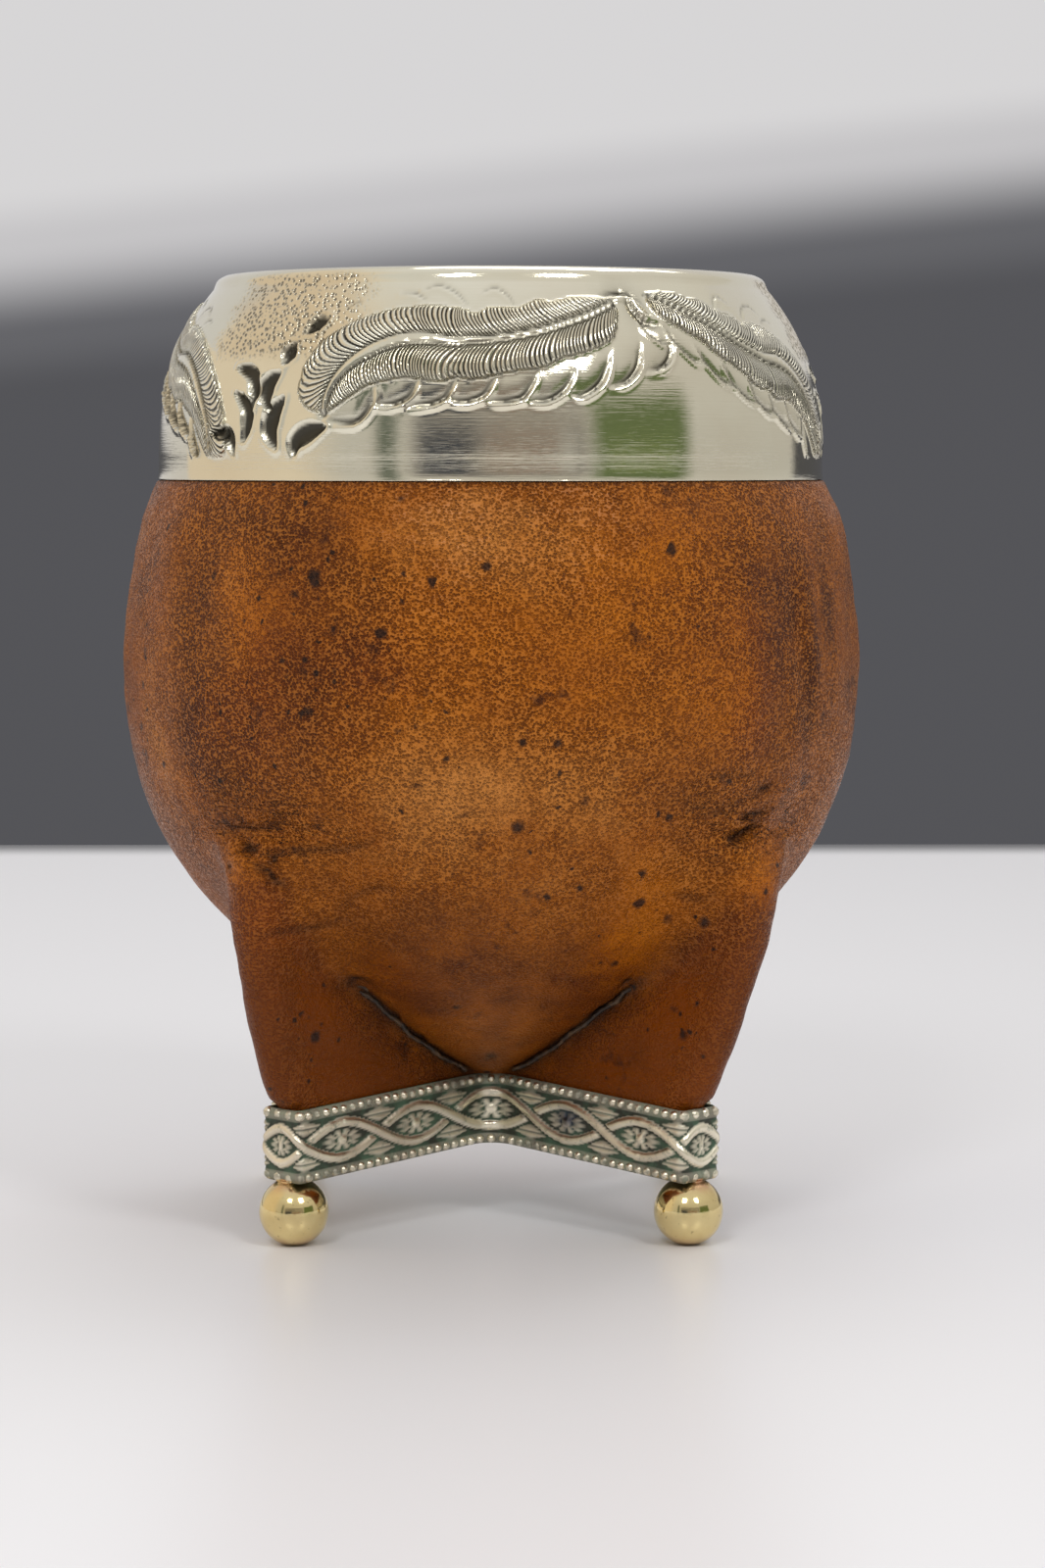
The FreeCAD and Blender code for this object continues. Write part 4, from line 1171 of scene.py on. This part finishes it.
    ball = np.vstack([[[0, 0, -1]], np.stack(sides, -1), [[0, 0, 1]]])
    beadQuads = ringFaces(1, 8, 4)
    beadTris = np.vstack([poleFaces(1, 8, 0, True), poleFaces(25, 8, 33, False)])
    shift = np.arange(len(centres))[:, None, None] * len(ball)
    beadPoints = (centres[:, None, :] + ball[None] * radiiAll[:, None, None]
            * np.array([1, 1, 0.94])).reshape(-1, 3)
    quads, tris = (beadQuads[None] + shift).reshape(-1, 4), (beadTris[None] + shift).reshape(-1, 3)
    fillMesh("shoe_beads", beadPoints, quads, tris, beadMaterial)


def makeShoeMaterial(name, beads):
    # cast nickel silver: cream where it is rubbed; in the low places green patina and black painted shade; worn
    # at random
    material, tree, shader = newMaterial(name)
    place = node(tree, "ShaderNodeTexCoord", -1800, 0).outputs["Object"]
    film = useGroup(tree, tarnishFilm, Vector=place, Size=110.0, Amount=1.0)
    if beads:
        high = ramp(tree, noise(tree, place, 500.0, 2.0, 0.6), [(0.35, 0.35), (0.6, 1.0)])
    else:
        high = attribute(tree, "raised")
    low = ramp(tree, high, [(0.15, 1.0), (0.85, 0.0)])
    greenOrBlack = ramp(tree, noise(tree, place, 260.0, 4.0, 0.65), [(0.40, 0.0), (0.60, 1.0)])
    # the low places: green patina and black painted shade, split by a noise
    recess = blendColour(tree, greenOrBlack, shoe["shadow"], shoe["verdigris"])
    metal = blendColour(tree, film.outputs["Film"], shoe["metal"], (0.66, 0.57, 0.45, 1))
    speck = ramp(tree, noise(tree, place, 900.0, 3.0, 0.7), [(0.55, 0.0), (0.75, 0.6)])
    metal = blendColour(tree, speck, metal, (0.10, 0.16, 0.11, 1))
    colour = blendColour(tree, low, metal, recess)
    if not beads:
        colour = blendColour(tree, maths(tree, "MULTIPLY", attribute(tree, "stain"), 0.9), colour,
                (0.012, 0.018, 0.060, 1))
    tree.links.new(colour, shader.inputs["Base Color"])
    tree.links.new(maths(tree, "SUBTRACT", 1.0, maths(tree, "MULTIPLY", low, 0.85), clamp=True),
            shader.inputs["Metallic"])
    rough = maths(tree, "ADD", maths(tree, "MULTIPLY_ADD", film.outputs["Film"], 0.12, 0.30),
            maths(tree, "MULTIPLY", low, 0.25))
    tree.links.new(rough, shader.inputs["Roughness"])
    normal = bump(tree, noise(tree, place, 1400.0, 3.0, 0.6), 0.35, 0.00008)
    tree.links.new(normal, shader.inputs["Normal"])
    return material


shoeMaterial = makeShoeMaterial("castSilver", False)
beadMaterial = makeShoeMaterial("castBeads", True)
makeShoe(shoeMaterial, beadMaterial)
print("shoe made")

# ball feet

ball = {
    "radius": 4.1, "centreHeight": 3.98, "neckRadius": 1.9, "neckTop": 8.5, "rows": 44, "columns": 64,
    "brass": (0.80, 0.66, 0.34, 1), "copper": (0.55, 0.27, 0.17, 1),
}


def makeBall(name, leg, material):
    # a turned ball with a small flat underneath, running up into a solder neck under the shoe
    low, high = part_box("ball_foot_" + leg)
    centre = np.array([(low.x + high.x) / 2, (low.y + high.y) / 2]) / mm
    b = ball
    tilt = np.linspace(0.10, pi, b["rows"])[::-1]
    rho = b["radius"] * np.sin(tilt)
    z = np.maximum(b["centreHeight"] + b["radius"] * np.cos(tilt), 0.0)
    neck = np.maximum(b["neckRadius"] + 0.35 * np.exp(-(b["neckTop"] - z) / 0.45), 0)
    rho = np.where((z > b["centreHeight"]) & (z > 7.0),
            np.maximum(rho, np.minimum(neck, 3.35) * smoothStep(z, 6.9, 7.9)), rho)
    ceiling = shoeTop(np.hypot(*centre)) - shoe["height"] + 0.3
    z = np.minimum(z, ceiling)
    turn = np.arange(b["columns"]) * 2 * pi / b["columns"]
    rho, z = rho[1:-1], z[1:-1]
    grid = np.stack([centre[0] + np.outer(rho, np.cos(turn)), centre[1] + np.outer(rho, np.sin(turn)),
                     np.repeat(z[:, None], len(turn), 1)], -1)
    dent = 0.02 * waves(len(leg), 8, 2.0, 5.0, grid[..., 0], grid[..., 1], grid[..., 2])
    grid[..., 0] += dent * np.cos(turn)
    grid[..., 1] += dent * np.sin(turn)
    points = np.vstack([grid.reshape(-1, 3), [[centre[0], centre[1], 0.0], [centre[0], centre[1], ceiling]]])
    tris = poleCaps(len(turn), len(rho))
    # copper tint on the solder neck and the ball's top, there partly a painted reflection of the hide above,
    # and a weaker one at the very bottom
    copperTintAndReflection = smoothStep(points[:, 2], 6.0, 7.8) + 0.6 * (1 - smoothStep(points[:, 2], 0.3, 1.6))
    fillMesh(name, points, ringFaces(0, len(turn), len(rho)), tris, material, ("ball_foot_" + leg,),
            {"copperTintAndReflection": copperTintAndReflection})


def makeBrassMaterial():
    # polished brass with a copper tint, on the solder neck and the ball's top, there partly a painted
    # reflection of the hide; fine scratches and a thin uneven film
    material, tree, shader = newMaterial("polishedBrass")
    place = node(tree, "ShaderNodeTexCoord", -1500, 0).outputs["Object"]
    film = useGroup(tree, tarnishFilm, Vector=place, Size=190.0, Amount=0.8)
    cloud = ramp(tree, noise(tree, place, 330.0, 3.0, 0.6), [(0.35, 0.0), (0.65, 1.0)])
    copperTintAndReflection = maths(tree, "MULTIPLY", attribute(tree, "copperTintAndReflection"), maths(tree, "MULTIPLY_ADD", cloud, 0.7, 0.15))
    colour = blendColour(tree, maths(tree, "MULTIPLY", film.outputs["Film"], 0.6), ball["brass"],
            (0.60, 0.42, 0.17, 1))
    colour = blendColour(tree, copperTintAndReflection, colour, ball["copper"])
    colour = blendColour(tree, maths(tree, "MULTIPLY", film.outputs["Spots"], 0.5), colour,
            (0.12, 0.08, 0.04, 1))
    tree.links.new(colour, shader.inputs["Base Color"])
    shader.inputs["Metallic"].default_value = 1.0
    rough = maths(tree, "ADD", maths(tree, "MULTIPLY_ADD", film.outputs["Film"], 0.12, 0.08),
            maths(tree, "MULTIPLY", copperTintAndReflection, 0.2))
    tree.links.new(rough, shader.inputs["Roughness"])
    scratch = useGroup(tree, fineScratches, Vector=placed(tree, place, (1.0, 0.35, 4.0)), Size=700.0)
    tree.links.new(bump(tree, scratch.outputs["Height"], 0.12, 0.00008), shader.inputs["Normal"])
    return material


brassMaterial = makeBrassMaterial()
for leg in legAngles:
    makeBall("brass_ball_" + leg, leg, brassMaterial)
print("balls made")

# laces

lace = {"radius": 0.31, "sides": 10, "count": 150, "twist": 1.9}


def seamLine(leg, side, heights):
    # points on the crease where the belly meets one face of a fin, found by walking along the face
    base = legAngles[leg]
    reach = np.linspace(1.0, 34, 500)
    out = []
    half = hide["finHalf"] + 0.35
    for z in heights:
        theta = base + np.degrees(np.arctan2(side * half, reach))
        join = hideDistance(np.hypot(reach, half), theta, z)[1]
        k = int(np.argmin(np.abs(join)))
        turned = radians(base + turnedTwist(z))
        p, q = reach[k] + 0.15, side * half
        out.append([p * np.cos(turned) - q * np.sin(turned), p * np.sin(turned) + q * np.cos(turned), z + 0.1])
    return np.array(out)


def makeLace(leg, material):
    # a waxed thong sewn along the crease of one face, through the fin, and back along the other
    heights = np.array([29.6, 28.2, 26.6, 25.0, 23.4, 21.8, 20.3, 19.0, 18.2])
    one, two = seamLine(leg, 1, heights), seamLine(leg, -1, heights)
    dip = 0.30 * np.array([1.6, -0.4, 0.6, -0.8, 0.9, -0.9, 0.8, -0.6, 1.2])
    out = np.array([np.cos(radians(legAngles[leg])), np.sin(radians(legAngles[leg])), 0.0])
    one, two = one + dip[:, None] * out, two - dip[::-1, None] * out * 0.8
    path = curveThrough(np.vstack([one, two[::-1], one[:2] + [0.3 * out[0], 0.3 * out[1], 0.9]]), lace["count"])
    tangent = np.gradient(path, axis=0)
    tangent /= np.linalg.norm(tangent, axis=1)[:, None]
    up = np.array([0.13, 0.21, 1.0]) + 0 * path
    across = np.cross(tangent, up)
    across /= np.linalg.norm(across, axis=1)[:, None]
    over = np.cross(across, tangent)
    t = np.linspace(0, 1, lace["count"])
    turn = np.arange(lace["sides"]) * 2 * pi / lace["sides"]
    uneven = 1 + 0.14 * np.sin(t * 47) + 0.08 * np.sin(t * 113 + 1)
    thick = lace["radius"] * uneven * np.minimum(1, np.minimum(t, 1 - t) * 30 + 0.35)
    lobe = 1 + 0.16 * np.cos(2 * (turn[None, :] + t[:, None] * 60 * lace["twist"]))
    ringPoints = (path[:, None, :] + (thick[:, None] * lobe * np.cos(turn))[..., None] * across[:, None, :]
                  + (thick[:, None] * lobe * np.sin(turn))[..., None] * over[:, None, :])
    points = np.vstack([ringPoints.reshape(-1, 3), path[:1], path[-1:]])
    quads = ringFaces(0, lace["sides"], lace["count"])[:, ::-1]
    tris = poleCaps(lace["sides"], lace["count"])[:, ::-1]
    fillMesh("thong_" + leg, points, quads, tris, material, ("lace_" + leg,))


def makeThongMaterial():
    # dark waxed thong: nearly black, a little lighter where it is rubbed
    material, tree, shader = newMaterial("waxedThong")
    place = node(tree, "ShaderNodeTexCoord", -1200, 0).outputs["Object"]
    rub = ramp(tree, noise(tree, place, 700.0, 3.0, 0.6), [(0.45, 0.0), (0.7, 1.0)])
    tree.links.new(blendColour(tree, rub, (0.020, 0.010, 0.005, 1), (0.115, 0.062, 0.026, 1)),
            shader.inputs["Base Color"])
    shader.inputs["Roughness"].default_value = 0.5
    tree.links.new(bump(tree, noise(tree, place, 1800.0, 2.0, 0.6), 0.5, 0.0001), shader.inputs["Normal"])
    return material


thongMaterial = makeThongMaterial()
for leg in legAngles:
    makeLace(leg, thongMaterial)
print("laces made")

# gourd

gourd = {
    "inner": 37.7, "innerBottom": 29.5, "top": 108.0, "outer": 42.5, "outerBottom": 24.75, "columns": 180,
    "colour": (0.33, 0.20, 0.095, 1), "stained": (0.085, 0.050, 0.020, 1),
}


def makeGourd(material):
    # a closed shell: half an ellipse below, the neck above, with slow lumps on its inside
    g = gourd
    turn = np.arange(g["columns"]) * 2 * pi / g["columns"]
    bow = np.linspace(0.06, pi / 2, 22)
    neck = np.linspace(69, g["top"], 20)[1:]
    outer = [(g["outer"] * np.sin(a), 69 - (69 - g["outerBottom"]) * np.cos(a)) for a in bow]
    outer += [(g["outer"] - 11.0 * ((z - 69) / 39) ** 1.4, z) for z in neck]
    inner = [(g["inner"] - 10.95 * ((z - 69) / 39) ** 1.4, z) for z in neck[::-1]]
    inner += [(g["inner"] * np.sin(a), 69 - (69 - g["innerBottom"]) * np.cos(a)) for a in bow[::-1]]
    lip = [(30.9, g["top"]), (29.3, g["top"] + 0.25), (27.8, g["top"] + 0.1)]
    profile = np.array(outer + lip + inner)
    rows = len(profile)
    rho = profile[:, :1] + 0 * turn
    z = profile[:, 1:] + 0 * turn
    lumps = 0.18 * waves(61, 12, 7, 22, rho * np.cos(turn), rho * np.sin(turn), z)
    inside = np.zeros(rows)
    inside[len(outer) + 2:] = 1
    mouthFree = inside * (1 - smoothStep(profile[:, 1], 98, 102))
    rho = rho + np.abs(lumps) * mouthFree[:, None] * np.sign(lumps)
    points = np.vstack([np.stack([rho * np.cos(turn), rho * np.sin(turn), z], -1).reshape(-1, 3),
                        [[0, 0, g["outerBottom"]], [0, 0, g["innerBottom"]]]])
    quads = ringFaces(0, len(turn), rows)
    fillMesh("gourd_bowl", points, quads, poleCaps(len(turn), rows), material, ("gourd_shell",))


def makeGourdMaterial():
    # cured calabash: matt fibrous tan, stained dark green-brown low down where the herb sits
    material, tree, shader = newMaterial("curedGourd")
    place = node(tree, "ShaderNodeTexCoord", -1500, 0).outputs["Object"]
    parts = node(tree, "ShaderNodeSeparateXYZ")
    tree.links.new(place, parts.inputs[0])
    deep = maths(tree, "MULTIPLY_ADD", parts.outputs[2], -22.0, 2.2, clamp=True)
    cloud = ramp(tree, noise(tree, place, 70.0, 4.0, 0.65), [(0.35, 0.0), (0.68, 1.0)])
    fibre = noise(tree, placed(tree, place, (1, 1, 0.3)), 900.0, 3.0, 0.7)
    stain = maths(tree, "MULTIPLY", maths(tree, "MAXIMUM", deep, 0.35),
            maths(tree, "MULTIPLY_ADD", cloud, 0.6, 0.35), clamp=True)
    colour = blendColour(tree, stain, gourd["colour"], gourd["stained"])
    colour = blendColour(tree, ramp(tree, fibre, [(0.5, 0.0), (0.75, 0.4)]), colour, (0.05, 0.03, 0.015, 1))
    tree.links.new(colour, shader.inputs["Base Color"])
    shader.inputs["Roughness"].default_value = 0.78
    tree.links.new(bump(tree, fibre, 0.6, 0.0003), shader.inputs["Normal"])
    return material


makeGourd(makeGourdMaterial())
print("gourd made")


# floor, world and lamps

studio = {
    "floorColour": (0.80, 0.80, 0.83, 1), "tableEdge": 0.472, "edgeFade": 0.030,
    "wallLow": (0.090, 0.090, 0.098, 1), "wallHigh": (0.68, 0.67, 0.675, 1),
    "skyStrength": 1.0,
    "sky": [
        (0.0, (0.5, 0.5, 0.52, 1)), (0.48, (0.55, 0.53, 0.50, 1)), (0.60, (0.62, 0.60, 0.57, 1)),
        (0.78, (0.74, 0.73, 0.71, 1)), (1.0, (0.86, 0.86, 0.88, 1)),
    ],
    # patches of the room: azimuth from and to, height from and to, softness, colour, strength
    "patches": [
        (-27, 33, -14, 17, 2.5, (0.060, 0.050, 0.052, 1), 0.62),
        (35, 71, -12, 19, 1.5, (0.085, 0.135, 0.030, 1), 0.9),
        (-39, -32, -14, 24, 1.5, (0.05, 0.08, 0.05, 1), 0.85),
        (-24, -6, -5, 9, 2.5, (0.035, 0.045, 0.070, 1), 0.9),
        (-22, 14, -12, -7, 1.0, (1.1, 1.07, 1.0, 1), 0.95), (-2, 24, 2, 6, 1.0, (0.36, 0.25, 0.20, 1), 0.8),
        (-12, 30, -4, -1.5, 0.6, (0.62, 0.56, 0.46, 1), 0.75), (4, 33, 10, 12, 0.8, (0.55, 0.50, 0.42, 1), 0.7),
        (24, 29, -14, 6, 1.5, (0.55, 0.54, 0.52, 1), 0.7), (40, 66, -2, 2, 1.5, (0.30, 0.36, 0.16, 1), 0.7),
        (-150, -60, -40, 60, 12.0, (0.84, 0.72, 0.57, 1), 0.8),
        (150, 178, 6, 30, 4.0, (0.25, 0.25, 0.26, 1), 0.7),
    ],
    "lamps": [
        ("windowLeft", -16, 40, (0.26, 0.30), 3.2, (1.0, 0.99, 0.97)),
        ("windowRight", 32, 40, (0.26, 0.30), 3.2, (1.0, 0.99, 0.97)),
        ("skylight", 160, 62, (0.8, 0.6), 3.2, (0.97, 0.98, 1.0)),
    ],
}


def plainBoard(name, corners, material):
    # a flat stage board from its four corners, in metres
    mesh = bpy.data.meshes.new(name)
    mesh.from_pydata(corners, [], [(0, 1, 2, 3)])
    mesh.materials.append(material)
    board = bpy.data.objects.new(name, mesh)
    bpy.context.collection.objects.link(board)


def softLamp(name, place, aim, size, power, colour):
    # a rectangular soft lamp at a place, turned to aim at a point
    lamp = bpy.data.lights.new(name, "AREA")
    lamp.shape = "RECTANGLE"
    lamp.size, lamp.size_y = size
    lamp.energy = power
    lamp.color = colour
    made = bpy.data.objects.new(name, lamp)
    made.location = place
    made.rotation_euler = (Vector(place) - Vector(aim)).to_track_quat("Z", "Y").to_euler()
    bpy.context.collection.objects.link(made)


def makeStudio():
    # a pale table, a far wall behind it, the room the metal reflects, and three soft lamps
    material, tree, shader = newMaterial("paleTable")
    # the table's far edge darkens softly into the wall's grey
    parts = node(tree, "ShaderNodeSeparateXYZ")
    tree.links.new(node(tree, "ShaderNodeTexCoord", -900, 0).outputs["Object"], parts.inputs[0])
    nearEdge = maths(tree, "MULTIPLY_ADD", parts.outputs[1], 1 / studio["edgeFade"],
            1 - studio["tableEdge"] / studio["edgeFade"], clamp=True)
    fadeOut = ramp(tree, nearEdge, [(0.0, 0.0), (1.0, 1.0)], "EASE")
    tree.links.new(blendColour(tree, fadeOut, studio["floorColour"], studio["wallLow"]),
            shader.inputs["Base Color"])
    shader.inputs["Roughness"].default_value = 0.32
    edge = studio["tableEdge"]
    plainBoard("table", [(-2, -2, 0), (2, -2, 0), (2, edge, 0), (-2, edge, 0)], material)
    # a far wall, grey below and pale above, with a soft slanting border; it glows with its own colour instead
    # of being lit by the lamps
    wall, tree, shader = newMaterial("glowingFarWall")
    place = node(tree, "ShaderNodeTexCoord", -900, 0).outputs["Object"]
    parts = node(tree, "ShaderNodeSeparateXYZ")
    tree.links.new(place, parts.inputs[0])
    border = maths(tree, "SUBTRACT", parts.outputs[2],
            maths(tree, "MULTIPLY_ADD", parts.outputs[0], 0.105, 0.197))
    soft = ramp(tree, maths(tree, "MULTIPLY_ADD", border, 10.0, 0.5),
            [(0.0, studio["wallLow"]), (0.28, (0.13, 0.13, 0.14, 1)),
                (0.72, (0.56, 0.55, 0.56, 1)), (1.0, studio["wallHigh"])], "EASE")
    shader.inputs["Roughness"].default_value = 0.9
    # the wall glows: its colour is emitted, not lit
    tree.links.new(soft, shader.inputs["Emission Color"])
    shader.inputs["Emission Strength"].default_value = 1.0
    shader.inputs["Base Color"].default_value = (0, 0, 0, 1)
    shader.inputs["Specular IOR Level"].default_value = 0.0
    plainBoard("wall", [(-2, 1.5, -1), (2, 1.5, -1), (2, 1.5, 2), (-2, 1.5, 2)], wall)
    makeWorld()
    for name, azimuth, elevation, size, power, colour in studio["lamps"]:
        away = 1.25
        flat = np.cos(radians(elevation)) * away
        place = (flat * np.sin(radians(azimuth)), -flat * np.cos(radians(azimuth)),
                0.06 + away * np.sin(radians(elevation)))
        softLamp(name, place, (0, 0, 0.06), size, power, colour)


def makeWorld():
    # a plain pale room: brighter overhead, with soft darker and greener patches for the metal to reflect
    world = bpy.data.worlds.new("studioWorld")
    bpy.context.scene.world = world
    world.use_nodes = True
    tree = world.node_tree
    background = tree.nodes["Background"]
    parts = node(tree, "ShaderNodeSeparateXYZ")
    tree.links.new(node(tree, "ShaderNodeTexCoord").outputs["Generated"], parts.inputs[0])
    azimuth = maths(tree, "DEGREES",
            maths(tree, "ARCTAN2", parts.outputs[0], maths(tree, "MULTIPLY", parts.outputs[1], -1.0)))
    height = maths(tree, "DEGREES", maths(tree, "ARCSINE", parts.outputs[2]))
    colour = ramp(tree, maths(tree, "MULTIPLY_ADD", height, 1 / 180, 0.5), studio["sky"], "EASE")
    for azimuthLow, azimuthHigh, low, high, soft, patch, strength in studio["patches"]:
        mask = strength
        for value, start, end in ((azimuth, azimuthLow, azimuthHigh), (height, low, high)):
            for edge, sign in ((start, 1.0), (end, -1.0)):
                step = node(tree, "ShaderNodeMapRange", interpolation_type="SMOOTHSTEP")
                tree.links.new(value, step.inputs[0])
                limits = (edge - soft * sign, edge + soft * sign, 0.0, 1.0)
                for index, limit in enumerate(limits, 1):
                    step.inputs[index].default_value = limit
                mask = maths(tree, "MULTIPLY", step.outputs[0], mask)
        colour = blendColour(tree, mask, colour, patch)
    tree.links.new(colour, background.inputs[0])
    background.inputs[1].default_value = studio["skyStrength"]


makeStudio()
bpy.context.scene.view_settings.view_transform = "Standard"
